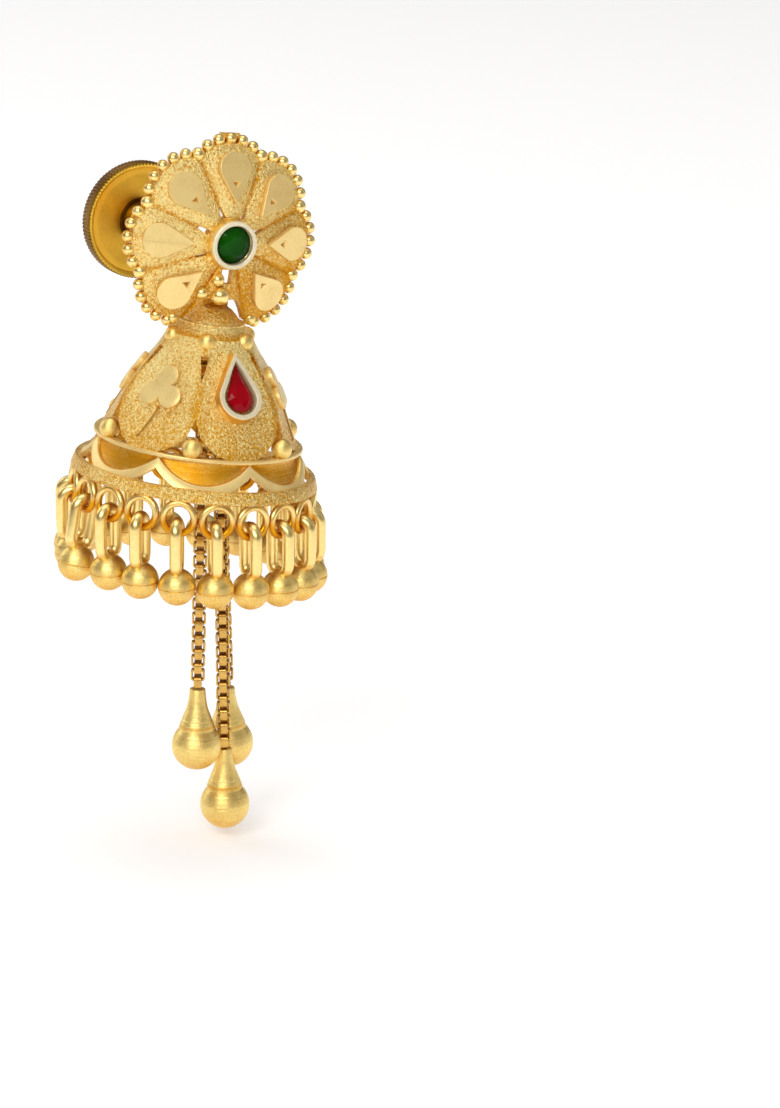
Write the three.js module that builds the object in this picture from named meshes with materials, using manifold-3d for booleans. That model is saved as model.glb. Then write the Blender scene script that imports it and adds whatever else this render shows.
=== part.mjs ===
// A gold jhumka earring: a flower on an ear post, a bell with a fringe of
// ball drops under it, and three chains that hang out of the bell.
// Millimetres, +Z up, +Y from the flower towards the ear. The origin is where the
// ear post leaves the back of the flower. The flower and the bell lean together
// about the post, as the jewel hangs. What is loose hangs straight down, apart from
// one ball drop that leans outward.

import * as THREE from 'three';
import { mergeVertices } from 'three/addons/utils/BufferGeometryUtils.js';
import { ConvexGeometry } from 'three/addons/geometries/ConvexGeometry.js';
import Module from 'manifold-3d';

const wasm = await Module();
wasm.setup();

// Overall placing
const LEAN = 7.1;              // degrees, top of the flower and bell towards +X
const POST_DROP = 1.2;         // the post sits this far under the flower's centre
const RIM_TO_BACK = 0.35;      // from the rim bead plane to the back plane
const FIT = 0.08;              // gap between pieces that fit in each other

// Flower
const PETALS = 8;
const PETAL_TIP = 6.25;        // radius of the plate at a petal's tip
const PETAL_VALLEY = 5.62;     // radius of the plate between two petals
const PLATE_WALL = 0.5;
const PLATE_RISE = 1.55;       // how far the plate's middle stands in front of its rim
const PETAL_CROWN = 0.25;      // how far a petal bulges between its creases
const CROWN_FADE = 0.35;       // share of that bulge which is lost at the tip
const DOWN = 270;              // direction of the petal over the bell, in degrees
const BOTTOM_PETAL_END = 3.8;  // the petal over the bell is cut short here
const CAP_BEAD_SHIFT = 5.5;    // degrees that the two beads beside the cap stand off it
const RIM_BEAD = 0.39;         // radius of the small rim beads
const VALLEY_BEAD = 0.45;      // radius of the beads between two petals
const RIM_BEADS_PER_PETAL = 5;
const BEAD_STAND = 0.2;        // bead centres stand this far outside the plate
const TEAR_WIDTH = 2.2;
const TEAR_TIP_RADIUS = 2.5;   // flower radius of a teardrop's point
const TEAR_ROUND_RADIUS = 4.75; // flower radius of the middle of its round end
const TEAR_RAISE = 0.28;
const NOTCH_SIZE = 0.34;       // cut mark on each teardrop
const NOTCH_DEPTH = 0.16;
const SLOTS = 5;
const SLOT_WIDTH = 0.34;       // pierced slots beside the collet
const SLOT_INNER = 1.75;
const SLOT_LENGTH = 0.75;
const WINDOW_WIDTH = 0.72;     // pierced window under the collet
const WINDOW_INNER = 1.7;
const WINDOW_LENGTH = 0.95;
const TAB_WIDTH = 1.8;         // tongue of the flower that seats in the bell's cap
const TAB_WALL = 0.5;
const TAB_LAP = 0.8;           // how far the tongue reaches up behind the petal
const TAB_END = 5.2;           // how far under the flower's centre the tongue ends
const BRIDGE_HEIGHT = 0.7;     // block that joins the tongue to the petal
const LUG_WIDTH = 1.4;         // flat plate end behind the top petal
const LUG_STAND = 0.53;        // how far it shows over the petal's tip
const LUG_LAP = 0.9;
const LUG_WALL = 0.3;
const GRANULE = 0.6;           // radius of the largest granule under the collet

// Collet and the green stone
const COLLET_RADIUS = 1.55;
const COLLET_WALL = 0.3;
const COLLET_FLARE = 0.08;
const SOCKET_RADIUS = 0.55;    // open hole behind the green stone
const COLLET_FRONT = 2.3;      // from the rim bead plane to the collet's front edge
const GREEN_TABLE_STAND = 0.12; // the stone's table in front of the collet's edge
const STONE_SEAT = 0.75;       // depth of the collets behind their front edge
const STONE_LEDGE = 0.35;      // depth of the ledge on which the stone's edge lies
const STONE_EDGE = 0.25;       // depth of the stone's widest place
const STONE_SIDES = 12;
const TABLE_SHARE = 0.6;       // a stone's flat table, as a share of its outline

// Bell: heights are under the flower's centre, along the bell's axis
const BELL_AXIS_FORWARD = 0.18; // the bell's axis in front of the rim bead plane
const CAP_TOP = 4.15;
const NECK_HEIGHT = 6.05;
const NECK_RADIUS = 2.72;
const CAP_STEP = 0.12;         // thin ledge round the cap
const BELL_WALL = 0.45;
const BELL_PETALS = 6;
const PETAL_FOOT_HEIGHT = 12.9;
const PETAL_FOOT_RADIUS = 6.4;
const PETAL_RIDGE = 0.65;      // how far the ridges between the petals stand out
const FOOT_GAP = 1.5;          // height of the gaps between the petals' feet
const NECK_BALL = 0.57;
const NECK_BALL_LOW = 0.2;     // neck balls under the top of the petals
const NECK_BALL_INSET = 0.12;
const FOOT_BALL = 0.67;
const FOOT_BALL_RISE = 0.5;    // foot balls over the petals' feet
const SLIT_WIDTH = 0.56;
const SLIT_LOW = 0.95;         // top of the slits under the neck
const SLIT_LENGTH = 1.75;
const TREFOIL_LOBE = 0.72;
const TREFOIL_SPREAD = 0.81;   // from its middle to the middle of a lobe
const TREFOIL_SHARE = 0.48;    // its place on the way from neck to foot
const TREFOIL_RAISE = 0.32;
const STONE_ANGLES = [0, 180];  // petals that carry a red stone
const PEAR_WIDTH = 1.8;        // the red stones, without their collets
const PEAR_LENGTH = 3.2;
const PEAR_SHARE = 0.205;      // place of the stones' points from neck to foot
const PEAR_STAND = 0.75;       // collets stand this far off the petals
const PEAR_FLARE = 0.17;       // how much wider a collet is at its foot
const PEAR_EDGE = 0.15;
const PEAR_TABLE = 0.3;
const PEAR_DEPTH = 0.45;
const POINT_GROWTH = 1.6;      // a grown teardrop's point moves out by this share

// Rail, scalloped skirt and hoop
const RAIL_RADIUS = 6.75;
const RAIL_SEAT = 0.4;         // how far the rail reaches in under the petals
const RAIL_THICK = 0.26;
const SCALLOPS = 7;
const SCALLOP_PHASE = 3.6;     // degrees from the front to the first peak
const SKIRT_LIP = 0.1;         // rail outside the top of the skirt
const PEAK_DEPTH = 0.95;       // the skirt's edge at a peak, under the petals' feet
const SKIRT_DEPTH = 2.3;       // the skirt's edge at its deepest place
const SKIRT_SPREAD = 0.83;     // how much wider the skirt's foot is than the rail
const SKIRT_WALL = 0.5;
const STRIP_WIDTH = 0.68;      // polished border along the skirt's edge
const CHANNEL_DEPTH = 0.2;     // how far the wall over the border is set back
const CHANNEL_RAMP = 0.4;      // the channel reaches its depth over this height
const HOOP_LAP = 0.48;         // the hoop's top above the skirt's deepest edge
const HOOP_STEP = 0.4;         // the hoop outside the skirt's foot
const HOOP_HEIGHT = 0.8;
const HOOP_FLARE = 0.2;
const HOOP_WALL = 0.42;
const RINGS = 20;
const RING_PHASE = 4;          // degrees from the front to the first ring
const RING_INSET = 0.24;       // ring centres inside the hoop's outer edge
const RING_WIRE = 0.23;        // radius of the rings' wire
const RING_MEAN = 0.98;        // from a ring's centre to the middle of its wire
const RING_SINK = 0.12;        // how deep a ring's top is soldered into the hoop

// Ball drops
const LOOP_WIRE = 0.36;
const LOOP_PLAY = 0.05;        // gap between a loop and the ring that carries it
const LOOP_HALF_WIDTH = 0.68;  // to the middle of the wire
const LOOP_SINK = 0.15;        // share of the ball that the loop's foot is sunk in
const BALL_RADIUS = 1.18;
const BALL_HANG = 3.5;         // ball centre under the ring's wire
const SWUNG_DROP = 16;         // the drop that leans outward
const SWING = 11;

// Chains and end drops
const TASSEL_DROP = 37.8;      // lowest ball's centre under the middle of the flower
const CHAIN_RADIUS = 0.44;
const CHAIN_TOP_SPREAD = 0.6;
const HANGER_LOW = 0.1;        // middle of the bar under the neck
const HANGER_WIRE = 0.25;
const END_BALL = 1.62;
const CONE_TOP = 3.85;         // top of the cone above its ball's centre
const CONE_TOP_RADIUS = 0.52;
const CONE_FOOT_RADIUS = 1.08;
const CONE_BAND = 0.25;        // straight foot of the cone over its ball

// Ear post and screw back
const POST_RADIUS = 0.5;
const POST_FRONT = 1.35;       // the post starts this far in front of the origin
const POST_LENGTH = 13.8;
const NUT_RADIUS = 3.9;
const NUT_SEAT = 1.5;          // from the disc's front rim to the post's end
const NUT_THICK = 1.3;
const NUT_DISH = 0.35;
const NUT_RIM = 0.45;
const NUT_BEVEL = 0.15;
const BOSS_RADIUS = 1.3;
const BOSS_STAND = 0.75;
const BOSS_GROOVE = 0.18;

// Heights and radii that follow from the sizes above
const SKIRT_FOOT = PETAL_FOOT_HEIGHT + SKIRT_DEPTH;
const SKIRT_FOOT_RADIUS = RAIL_RADIUS + SKIRT_SPREAD;
const HOOP_TOP = SKIRT_FOOT - HOOP_LAP;
const HOOP_RADIUS = SKIRT_FOOT_RADIUS + HOOP_STEP;
const RING_CIRCLE = HOOP_RADIUS - RING_INSET;
const HANGER_HEIGHT = NECK_HEIGHT + HANGER_LOW;
const NUT_FRONT = POST_LENGTH - POST_FRONT - NUT_SEAT;
const CUTTER_REACH = 4 * Math.max(BELL_WALL, PLATE_WALL); // half length of cutting shapes

const RAD = Math.PI / 180;
const GOLD = { color: 0xf0c569, roughness: 0.35, metalness: 1 };
const POLISHED = { color: 0xf6d488, roughness: 0.18, metalness: 1 };
const GREEN = { color: 0x0f4a24, roughness: 0.08, metalness: 0 };
const RED = { color: 0x8f1222, roughness: 0.08, metalness: 0 };

const earring = new THREE.Group();

// Turns a three.js geometry into a closed solid: equal corners are joined and
// triangles without area are dropped.
function solidOf(geometry) {
  const bare = geometry.clone();
  bare.deleteAttribute('normal');
  bare.deleteAttribute('uv');
  const merged = mergeVertices(bare, 1e-4);
  const corners = [];
  for (let i = 0; i < merged.index.count; i += 3) {
    const a = merged.index.getX(i);
    const b = merged.index.getX(i + 1);
    const c = merged.index.getX(i + 2);
    if (a !== b && b !== c && a !== c) corners.push(a, b, c);
  }
  const vertProperties = new Float32Array(merged.attributes.position.array);
  const mesh = new wasm.Mesh({ numProp: 3, vertProperties, triVerts: new Uint32Array(corners) });
  return new wasm.Manifold(mesh);
}

function geometryOf(solid) {
  const mesh = solid.getMesh();
  const geometry = new THREE.BufferGeometry();
  geometry.setAttribute('position', new THREE.BufferAttribute(new Float32Array(mesh.vertProperties), 3));
  geometry.setIndex(new THREE.BufferAttribute(new Uint32Array(mesh.triVerts), 1));
  return geometry;
}

function joined(solids) {
  return solids.reduce((whole, next) => whole.add(next));
}

function cut(solid, cutters) {
  return cutters.reduce((whole, next) => whole.subtract(next), solid);
}

function addPiece(name, geometry, finish, parent) {
  geometry.computeVertexNormals();
  const piece = new THREE.Mesh(geometry, new THREE.MeshStandardMaterial(finish));
  piece.name = name;
  parent.add(piece);
  return piece;
}

// A closed surface through rows of points. Each row is a closed outline, and the
// last row joins the first.
function loopedSurface(rows) {
  const across = rows[0].length;
  const positions = [];
  rows.forEach((row) => row.forEach((p) => positions.push(p.x, p.y, p.z)));
  const index = [];
  for (let i = 0; i < rows.length; i += 1) {
    const next = (i + 1) % rows.length;
    for (let j = 0; j < across; j += 1) {
      const k = (j + 1) % across;
      const a = i * across + j;
      const b = i * across + k;
      const c = next * across + k;
      const d = next * across + j;
      index.push(a, c, b, a, d, c);
    }
  }
  const geometry = new THREE.BufferGeometry();
  geometry.setAttribute('position', new THREE.Float32BufferAttribute(positions, 3));
  geometry.setIndex(index);
  const solid = solidOf(geometry);
  if (solid.volume() > 0) return solid;
  for (let t = 0; t < index.length; t += 3) [index[t], index[t + 1]] = [index[t + 1], index[t]];
  geometry.setIndex(index);
  return solidOf(geometry);
}

function ball(radius, at, rows = 5) {
  const round = new THREE.SphereGeometry(radius, 10, rows).rotateX(Math.PI / 2);
  return solidOf(round.translate(at.x, at.y, at.z));
}

// A small bead that shows its ten sides to the front.
function bead(radius, at) {
  return solidOf(new THREE.SphereGeometry(radius, 10, 3).translate(at.x, at.y, at.z));
}

// The smaller angle between two directions, in degrees.
function apart(a, b) {
  const turn = Math.abs(a - b) % 360;
  return Math.min(turn, 360 - turn);
}

// Flower shapes. Angles run from +X towards +Z, and "front" is a distance to -Y.
function petalShare(angle) {
  const turn = 360 / PETALS;
  const near = Math.round((angle - 90) / turn) * turn + 90;
  return (angle - near) / (turn / 2);
}

function plateRadius(angle) {
  const share = petalShare(angle);
  const full = PETAL_VALLEY + (PETAL_TIP - PETAL_VALLEY) * (1 - share * share);
  const fromBottom = apart(angle, DOWN) / (180 / PETALS);
  if (fromBottom >= 1) return full;
  return BOTTOM_PETAL_END + (full - BOTTOM_PETAL_END) * fromBottom ** 8;
}

function plateFront(radius, angle) {
  const share = petalShare(angle);
  const rise = PLATE_RISE * (1 - (radius / PETAL_TIP) ** 2);
  const swell = Math.min(1, radius / TEAR_TIP_RADIUS) - CROWN_FADE * (radius / PETAL_TIP) ** 4;
  return rise + PETAL_CROWN * swell * (1 - share * share);
}

function flowerPoint(radius, angle, front) {
  return new THREE.Vector3(radius * Math.cos(angle * RAD), -front, radius * Math.sin(angle * RAD));
}

function plate() {
  const perPetal = 4;
  const stations = [0, 0.4, 0.75, 1];
  const hole = COLLET_RADIUS - COLLET_WALL - FIT;
  const rows = [];
  for (let i = 0; i < PETALS * perPetal; i += 1) {
    const angle = 90 + (360 * i) / (PETALS * perPetal);
    const rim = plateRadius(angle);
    const radii = stations.map((s) => hole + (rim - hole) * s);
    const front = radii.map((r) => flowerPoint(r, angle, plateFront(r, angle)));
    const back = radii.map((r) => flowerPoint(r, angle, plateFront(r, angle) - PLATE_WALL));
    rows.push([...front, ...back.reverse()]);
  }
  return loopedSurface(rows);
}

function rimBeads() {
  const beads = [];
  const turn = 360 / PETALS;
  for (let petal = 0; petal < PETALS; petal += 1) {
    const middle = 90 + petal * turn;
    const valley = (middle + turn / 2) % 360;
    const besideCap = apart(valley, DOWN) < turn;
    const shift = besideCap ? CAP_BEAD_SHIFT * Math.sign(valley - DOWN) : 0;
    const centre = flowerPoint(PETAL_VALLEY + BEAD_STAND, valley + shift, FIT / 2);
    beads.push(bead(VALLEY_BEAD, centre));
    if (middle % 360 === DOWN) continue;
    for (let i = 0; i < RIM_BEADS_PER_PETAL; i += 1) {
      const angle = middle + turn * ((i + 1) / (RIM_BEADS_PER_PETAL + 1) - 0.5);
      const rim = plateRadius(angle);
      const at = flowerPoint(rim + BEAD_STAND, angle, plateFront(rim, angle) - PLATE_WALL / 2);
      beads.push(bead(RIM_BEAD, at));
    }
  }
  return beads;
}

// A flat teardrop outline with its point at the origin and its round end towards +Y.
function tearShape(width, length) {
  const radius = width / 2;
  const middle = length - radius;
  const lean = Math.acos(radius / middle);
  const shape = new THREE.Shape();
  shape.moveTo(0, 0);
  shape.lineTo(radius * Math.sin(lean), middle - radius * Math.cos(lean));
  shape.absarc(0, middle, radius, lean - Math.PI / 2, Math.PI * 1.5 - lean, false);
  shape.closePath();
  return shape;
}

// Places a flat piece, drawn with its up direction along a petal, on that petal.
function onPetal(geometry, angle, radius) {
  const step = 0.4;
  const here = flowerPoint(radius, angle, plateFront(radius, angle));
  const out = flowerPoint(radius + step, angle, plateFront(radius + step, angle)).sub(here).normalize();
  const side = new THREE.Vector3(Math.sin(angle * RAD), 0, -Math.cos(angle * RAD));
  const normal = new THREE.Vector3().crossVectors(side, out).normalize();
  const place = new THREE.Matrix4().makeBasis(side, out, normal).setPosition(here);
  return geometry.applyMatrix4(place);
}

function teardrops() {
  const length = TEAR_ROUND_RADIUS + TEAR_WIDTH / 2 - TEAR_TIP_RADIUS;
  const middle = (TEAR_TIP_RADIUS + TEAR_ROUND_RADIUS) / 2;
  const depth = TEAR_RAISE + PLATE_WALL * 0.7;
  const drops = [];
  for (let petal = 0; petal < PETALS; petal += 1) {
    const angle = 90 + (petal * 360) / PETALS;
    if (angle % 360 === DOWN) continue;
    const shape = tearShape(TEAR_WIDTH, length);
    const flat = new THREE.ExtrudeGeometry(shape, { depth, bevelEnabled: false, curveSegments: 4 });
    flat.translate(0, TEAR_TIP_RADIUS - middle, TEAR_RAISE - depth);
    const notch = new THREE.ConeGeometry(NOTCH_SIZE, NOTCH_DEPTH * 2, 3).rotateX(-Math.PI / 2);
    notch.translate(0, 0, TEAR_RAISE);
    const body = solidOf(onPetal(flat, angle, middle));
    drops.push(body.subtract(solidOf(onPetal(notch, angle, middle))));
  }
  return drops;
}

function slotCutter(width, inner, length, angle) {
  const block = new THREE.BoxGeometry(width, length, 2 * CUTTER_REACH);
  return solidOf(onPetal(block, angle, inner + length / 2));
}

function collet() {
  const back = plateFront(COLLET_RADIUS, 90) - PLATE_WALL;
  const inner = COLLET_RADIUS - COLLET_WALL;
  const profile = [
    [inner, COLLET_FRONT], [COLLET_RADIUS, COLLET_FRONT], [COLLET_RADIUS + COLLET_FLARE, back],
    [SOCKET_RADIUS, back], [SOCKET_RADIUS, COLLET_FRONT - STONE_SEAT], [inner, COLLET_FRONT - STONE_LEDGE],
  ].map(([radius, front]) => new THREE.Vector2(radius, -front));
  profile.push(profile[0].clone());
  return positive(new THREE.LatheGeometry(profile, 16));
}

// A lathe profile can run either way round, so the solid is turned outside out.
function positive(geometry) {
  const solid = solidOf(geometry);
  if (solid.volume() > 0) return solid;
  const turned = geometry.clone();
  const order = turned.index.array;
  for (let i = 0; i < order.length; i += 3) [order[i], order[i + 1]] = [order[i + 1], order[i]];
  return solidOf(turned);
}

// Granules under the collet: places as shares of the flower's radius, and sizes as
// shares of the largest one.
const GRANULES = [
  { across: -0.1, up: -0.376, size: 0.7 },
  { across: -0.232, up: -0.528, size: 0.7 },
  { across: -0.048, up: -0.544, size: 1 },
];

function granules() {
  return GRANULES.map(({ across, up, size }) => {
    const reach = PETAL_TIP * Math.hypot(across, up);
    const angle = Math.atan2(up, across) / RAD;
    const front = plateFront(reach, angle) + GRANULE * size * 0.35;
    return ball(GRANULE * size, flowerPoint(reach, angle, front));
  });
}

// The tongue behind the lowest petal, which seats in the bell's cap.
function tongue() {
  const top = BOTTOM_PETAL_END - TAB_LAP;
  const inPlate = plateFront(BOTTOM_PETAL_END, DOWN) - PLATE_WALL / 2;
  const back = TAB_WALL / 2 - BELL_AXIS_FORWARD;
  const tab = new THREE.BoxGeometry(TAB_WIDTH, TAB_WALL, TAB_END - top);
  tab.translate(0, -BELL_AXIS_FORWARD, -(TAB_END + top) / 2);
  const bridge = new THREE.BoxGeometry(TAB_WIDTH, inPlate + back, BRIDGE_HEIGHT);
  bridge.translate(0, (back - inPlate) / 2, -(top + BRIDGE_HEIGHT / 2));
  return solidOf(tab).add(solidOf(bridge));
}

function lug() {
  const block = new THREE.BoxGeometry(LUG_WIDTH, LUG_WALL, LUG_STAND + LUG_LAP);
  return solidOf(block.translate(0, PLATE_WALL - LUG_WALL * 0.7, PETAL_TIP + (LUG_STAND - LUG_LAP) / 2));
}

function flowerTop() {
  const cutters = Array.from({ length: SLOTS }, (_, i) => {
    return slotCutter(SLOT_WIDTH, SLOT_INNER, SLOT_LENGTH, (360 / PETALS) * (i + 0.5));
  });
  cutters.push(slotCutter(WINDOW_WIDTH, WINDOW_INNER, WINDOW_LENGTH, DOWN));
  const pierced = cut(joined([plate(), ...teardrops()]), cutters);
  const socket = new THREE.CylinderGeometry(SOCKET_RADIUS, SOCKET_RADIUS, 2 * CUTTER_REACH, 16);
  return joined([pierced, collet(), tongue(), lug(), ...rimBeads(), ...granules()]).subtract(solidOf(socket));
}

// A round cut stone that looks along +Z: a table, a crown and a pointed back.
function roundStone(radius, tableHeight, depth) {
  const points = [];
  for (let i = 0; i < STONE_SIDES; i += 1) {
    const turn = (i / STONE_SIDES) * 2 * Math.PI;
    const half = ((i + 0.5) / STONE_SIDES) * 2 * Math.PI;
    const table = TABLE_SHARE * radius;
    points.push(new THREE.Vector3(radius * Math.cos(turn), radius * Math.sin(turn), 0));
    points.push(new THREE.Vector3(table * Math.cos(half), table * Math.sin(half), tableHeight));
  }
  points.push(new THREE.Vector3(0, 0, -depth));
  return new ConvexGeometry(points);
}

// A pear cut stone that looks along +Z, with its point at the origin.
function pearStone(width, length, tableHeight, depth) {
  const outline = tearShape(width, length).getPoints(6);
  const middle = new THREE.Vector2(0, length - width / 2);
  const points = [];
  outline.forEach((p) => {
    points.push(new THREE.Vector3(p.x, p.y, 0));
    const inner = p.clone().lerp(middle, 1 - TABLE_SHARE);
    points.push(new THREE.Vector3(inner.x, inner.y, tableHeight));
  });
  points.push(new THREE.Vector3(middle.x, middle.y, -depth));
  return new ConvexGeometry(points);
}

// Bell shapes. Angles run from the front (-Y) towards +X, "height" is a distance
// under the flower's centre, and the bell's axis is a little in front of the rim.
function bellPoint(radius, angle, height) {
  const x = radius * Math.sin(angle * RAD);
  const y = -radius * Math.cos(angle * RAD) - BELL_AXIS_FORWARD;
  return new THREE.Vector3(x, y, -height);
}

// Outer radius of the bell's wall, by the share of the way from neck to foot.
const BELL_PROFILE = [
  { share: 0, reach: 0 },
  { share: 0.17, reach: 0.15 },
  { share: 0.36, reach: 0.37 },
  { share: 0.56, reach: 0.6 },
  { share: 0.76, reach: 0.78 },
  { share: 1, reach: 1 },
];

function bellRadius(height) {
  const share = (height - NECK_HEIGHT) / (PETAL_FOOT_HEIGHT - NECK_HEIGHT);
  const last = BELL_PROFILE.length - 2;
  let row = BELL_PROFILE.findIndex((p, i) => i <= last && share <= BELL_PROFILE[i + 1].share);
  if (row < 0) row = last;
  const low = BELL_PROFILE[row];
  const high = BELL_PROFILE[row + 1];
  const along = (share - low.share) / (high.share - low.share);
  const reach = low.reach + (high.reach - low.reach) * along;
  return NECK_RADIUS + (PETAL_FOOT_RADIUS - NECK_RADIUS) * reach;
}

function bellShare(angle) {
  const turn = 360 / BELL_PETALS;
  return (angle - Math.round(angle / turn) * turn) / (turn / 2);
}

// The petals are nearly flat leaves, which meet in ridges.
function bellSurface(angle, height) {
  const along = (height - NECK_HEIGHT) / (PETAL_FOOT_HEIGHT - NECK_HEIGHT);
  const ridge = PETAL_RIDGE * Math.sin(Math.PI * Math.min(1, Math.max(0, along)));
  return bellRadius(height) + ridge * bellShare(angle) ** 2;
}

// Height of a place on the petals, by its share of the way from neck to foot.
function heightAt(share) {
  return NECK_HEIGHT + (PETAL_FOOT_HEIGHT - NECK_HEIGHT) * share;
}

function bellWall() {
  const perPetal = 4;
  const rows = [];
  for (let i = 0; i < BELL_PETALS * perPetal; i += 1) {
    const angle = (360 * i) / (BELL_PETALS * perPetal);
    const foot = PETAL_FOOT_HEIGHT + RAIL_THICK / 2 - FOOT_GAP * Math.abs(bellShare(angle)) ** 3;
    const heights = [0, 0.25, 0.6, 1].map((s) => NECK_HEIGHT + (foot - NECK_HEIGHT) * s);
    const outside = heights.map((h) => bellPoint(bellSurface(angle, h), angle, h));
    const inside = heights.map((h) => bellPoint(bellSurface(angle, h) - BELL_WALL, angle, h));
    rows.push([...outside, ...inside.reverse()]);
  }
  return loopedSurface(rows);
}

function latheOnBell(profile, sides) {
  const outline = profile.map(([radius, height]) => new THREE.Vector2(radius, -height));
  outline.push(outline[0].clone());
  const geometry = new THREE.LatheGeometry(outline, sides).rotateX(Math.PI / 2);
  geometry.translate(0, -BELL_AXIS_FORWARD, 0);
  return positive(geometry);
}

// Outside of the cap: radii as shares of the neck's, falls as shares of the cap's
// height.
const CAP_PROFILE = [
  { reach: 0.11, fall: 0 },
  { reach: 0.48, fall: 0.18 },
  { reach: 0.68, fall: 0.55 },
  { reach: 0.77, fall: 0.55 },
];

function cap() {
  const outside = CAP_PROFILE.map(({ reach, fall }) => {
    return [NECK_RADIUS * reach, CAP_TOP + (NECK_HEIGHT - CAP_TOP) * fall];
  });
  const [middle, , , ledge] = outside;
  const underLedge = [ledge[0], ledge[1] + CAP_STEP];
  const inside = [[NECK_RADIUS, NECK_HEIGHT], ledge].map(([radius, height]) => {
    return [radius - BELL_WALL, height + BELL_WALL / 2];
  });
  const ceiling = [middle[0], CAP_TOP + 1.2 * BELL_WALL];
  return latheOnBell([...outside, underLedge, [NECK_RADIUS, NECK_HEIGHT], ...inside, ceiling], 12);
}

function bellBalls() {
  const balls = [];
  for (let i = 0; i < BELL_PETALS; i += 1) {
    const angle = (360 / BELL_PETALS) * (i + 0.5);
    const neck = bellPoint(NECK_RADIUS - NECK_BALL_INSET, angle, NECK_HEIGHT + NECK_BALL_LOW);
    const foot = bellPoint(PETAL_FOOT_RADIUS - FIT / 2, angle, PETAL_FOOT_HEIGHT - FOOT_BALL_RISE);
    balls.push(ball(NECK_BALL, neck, 4));
    balls.push(ball(FOOT_BALL, foot, 4));
  }
  return balls;
}

// Places a flat piece, drawn facing +Z with up along +Y, on the bell's wall.
function onBell(geometry, angle, height) {
  const step = 0.4;
  const here = bellPoint(bellSurface(angle, height), angle, height);
  const up = bellPoint(bellSurface(angle, height - step), angle, height - step).sub(here).normalize();
  const side = new THREE.Vector3(Math.cos(angle * RAD), Math.sin(angle * RAD), 0);
  const normal = new THREE.Vector3().crossVectors(side, up).normalize();
  return geometry.applyMatrix4(new THREE.Matrix4().makeBasis(side, up, normal).setPosition(here));
}

function slits() {
  const shape = new THREE.Shape();
  shape.moveTo(-SLIT_WIDTH / 2, 0);
  shape.lineTo(0, -SLIT_LENGTH);
  shape.lineTo(SLIT_WIDTH / 2, 0);
  shape.closePath();
  const cutters = [];
  for (let i = 0; i < BELL_PETALS; i += 1) {
    const wedge = new THREE.ExtrudeGeometry(shape, { depth: 2 * CUTTER_REACH, bevelEnabled: false });
    wedge.translate(0, 0, -CUTTER_REACH);
    cutters.push(solidOf(onBell(wedge, (360 / BELL_PETALS) * (i + 0.5), NECK_HEIGHT + SLIT_LOW)));
  }
  return cutters;
}

// Three round lobes that just run into each other.
function trefoil(angle) {
  const half = TREFOIL_SPREAD * Math.sin(60 * RAD);
  const open = 150 * RAD - Math.acos(Math.min(1, half / TREFOIL_LOBE));
  const depth = TREFOIL_RAISE + BELL_WALL * 0.6;
  const shape = new THREE.Shape();
  [90, 210, 330].forEach((turn) => {
    const middle = turn * RAD;
    const x = TREFOIL_SPREAD * Math.cos(middle);
    const y = TREFOIL_SPREAD * Math.sin(middle);
    shape.absarc(x, y, TREFOIL_LOBE, middle - open, middle + open, false);
  });
  shape.closePath();
  const raised = new THREE.ExtrudeGeometry(shape, { depth, bevelEnabled: false, curveSegments: 3 });
  raised.translate(0, 0, TREFOIL_RAISE - depth);
  return solidOf(onBell(raised, angle, heightAt(TREFOIL_SHARE)));
}

// A convex block through teardrop outlines. Each level has its height and how far
// its outline stands outside the stone's, whose point is at the origin.
function tearBlock(levels) {
  const points = [];
  levels.forEach(({ height, grow }) => {
    const shape = tearShape(PEAR_WIDTH + 2 * grow, PEAR_LENGTH + (1 + POINT_GROWTH) * grow);
    shape.getPoints(4).forEach((p) => points.push(new THREE.Vector3(p.x, p.y - POINT_GROWTH * grow, height)));
  });
  return new ConvexGeometry(points).rotateZ(Math.PI);
}

function pearCollet(angle) {
  const outer = COLLET_WALL + FIT;
  const body = tearBlock([
    { height: -BELL_WALL * 0.8, grow: outer + PEAR_FLARE },
    { height: PEAR_STAND / 3, grow: outer },
    { height: PEAR_STAND, grow: outer },
  ]);
  const hole = tearBlock([
    { height: PEAR_STAND - STONE_SEAT, grow: FIT },
    { height: PEAR_STAND + CUTTER_REACH, grow: FIT },
  ]);
  const height = heightAt(PEAR_SHARE);
  return solidOf(onBell(body, angle, height)).subtract(solidOf(onBell(hole, angle, height)));
}

function skirt() {
  const perScallop = 5;
  const top = PETAL_FOOT_HEIGHT + RAIL_THICK / 2;
  const topRadius = RAIL_RADIUS - SKIRT_LIP;
  const spread = (SKIRT_FOOT_RADIUS - topRadius) / (SKIRT_FOOT - top);
  const radius = (height) => topRadius + spread * (height - top);
  const rows = [];
  for (let i = 0; i < SCALLOPS * perScallop; i += 1) {
    const share = Math.abs((i % perScallop) / perScallop - 0.5) * 2;
    const angle = SCALLOP_PHASE + (360 * i) / (SCALLOPS * perScallop);
    const edge = SKIRT_FOOT + (PEAK_DEPTH - SKIRT_DEPTH) * share ** 2;
    const border = Math.max(top + FIT, edge - STRIP_WIDTH);
    const set = CHANNEL_DEPTH * Math.min(1, (border - top) / CHANNEL_RAMP);
    rows.push([
      bellPoint(radius(top) - set, angle, top),
      bellPoint(radius((top + border) / 2) - set * 1.2, angle, (top + border) / 2),
      bellPoint(radius(border) - set, angle, border - FIT / 4),
      bellPoint(radius(border), angle, border),
      bellPoint(radius(edge), angle, edge),
      bellPoint(radius(edge) - SKIRT_WALL, angle, edge),
      bellPoint(radius(top) - SKIRT_WALL, angle, top),
    ]);
  }
  return loopedSurface(rows);
}

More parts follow.
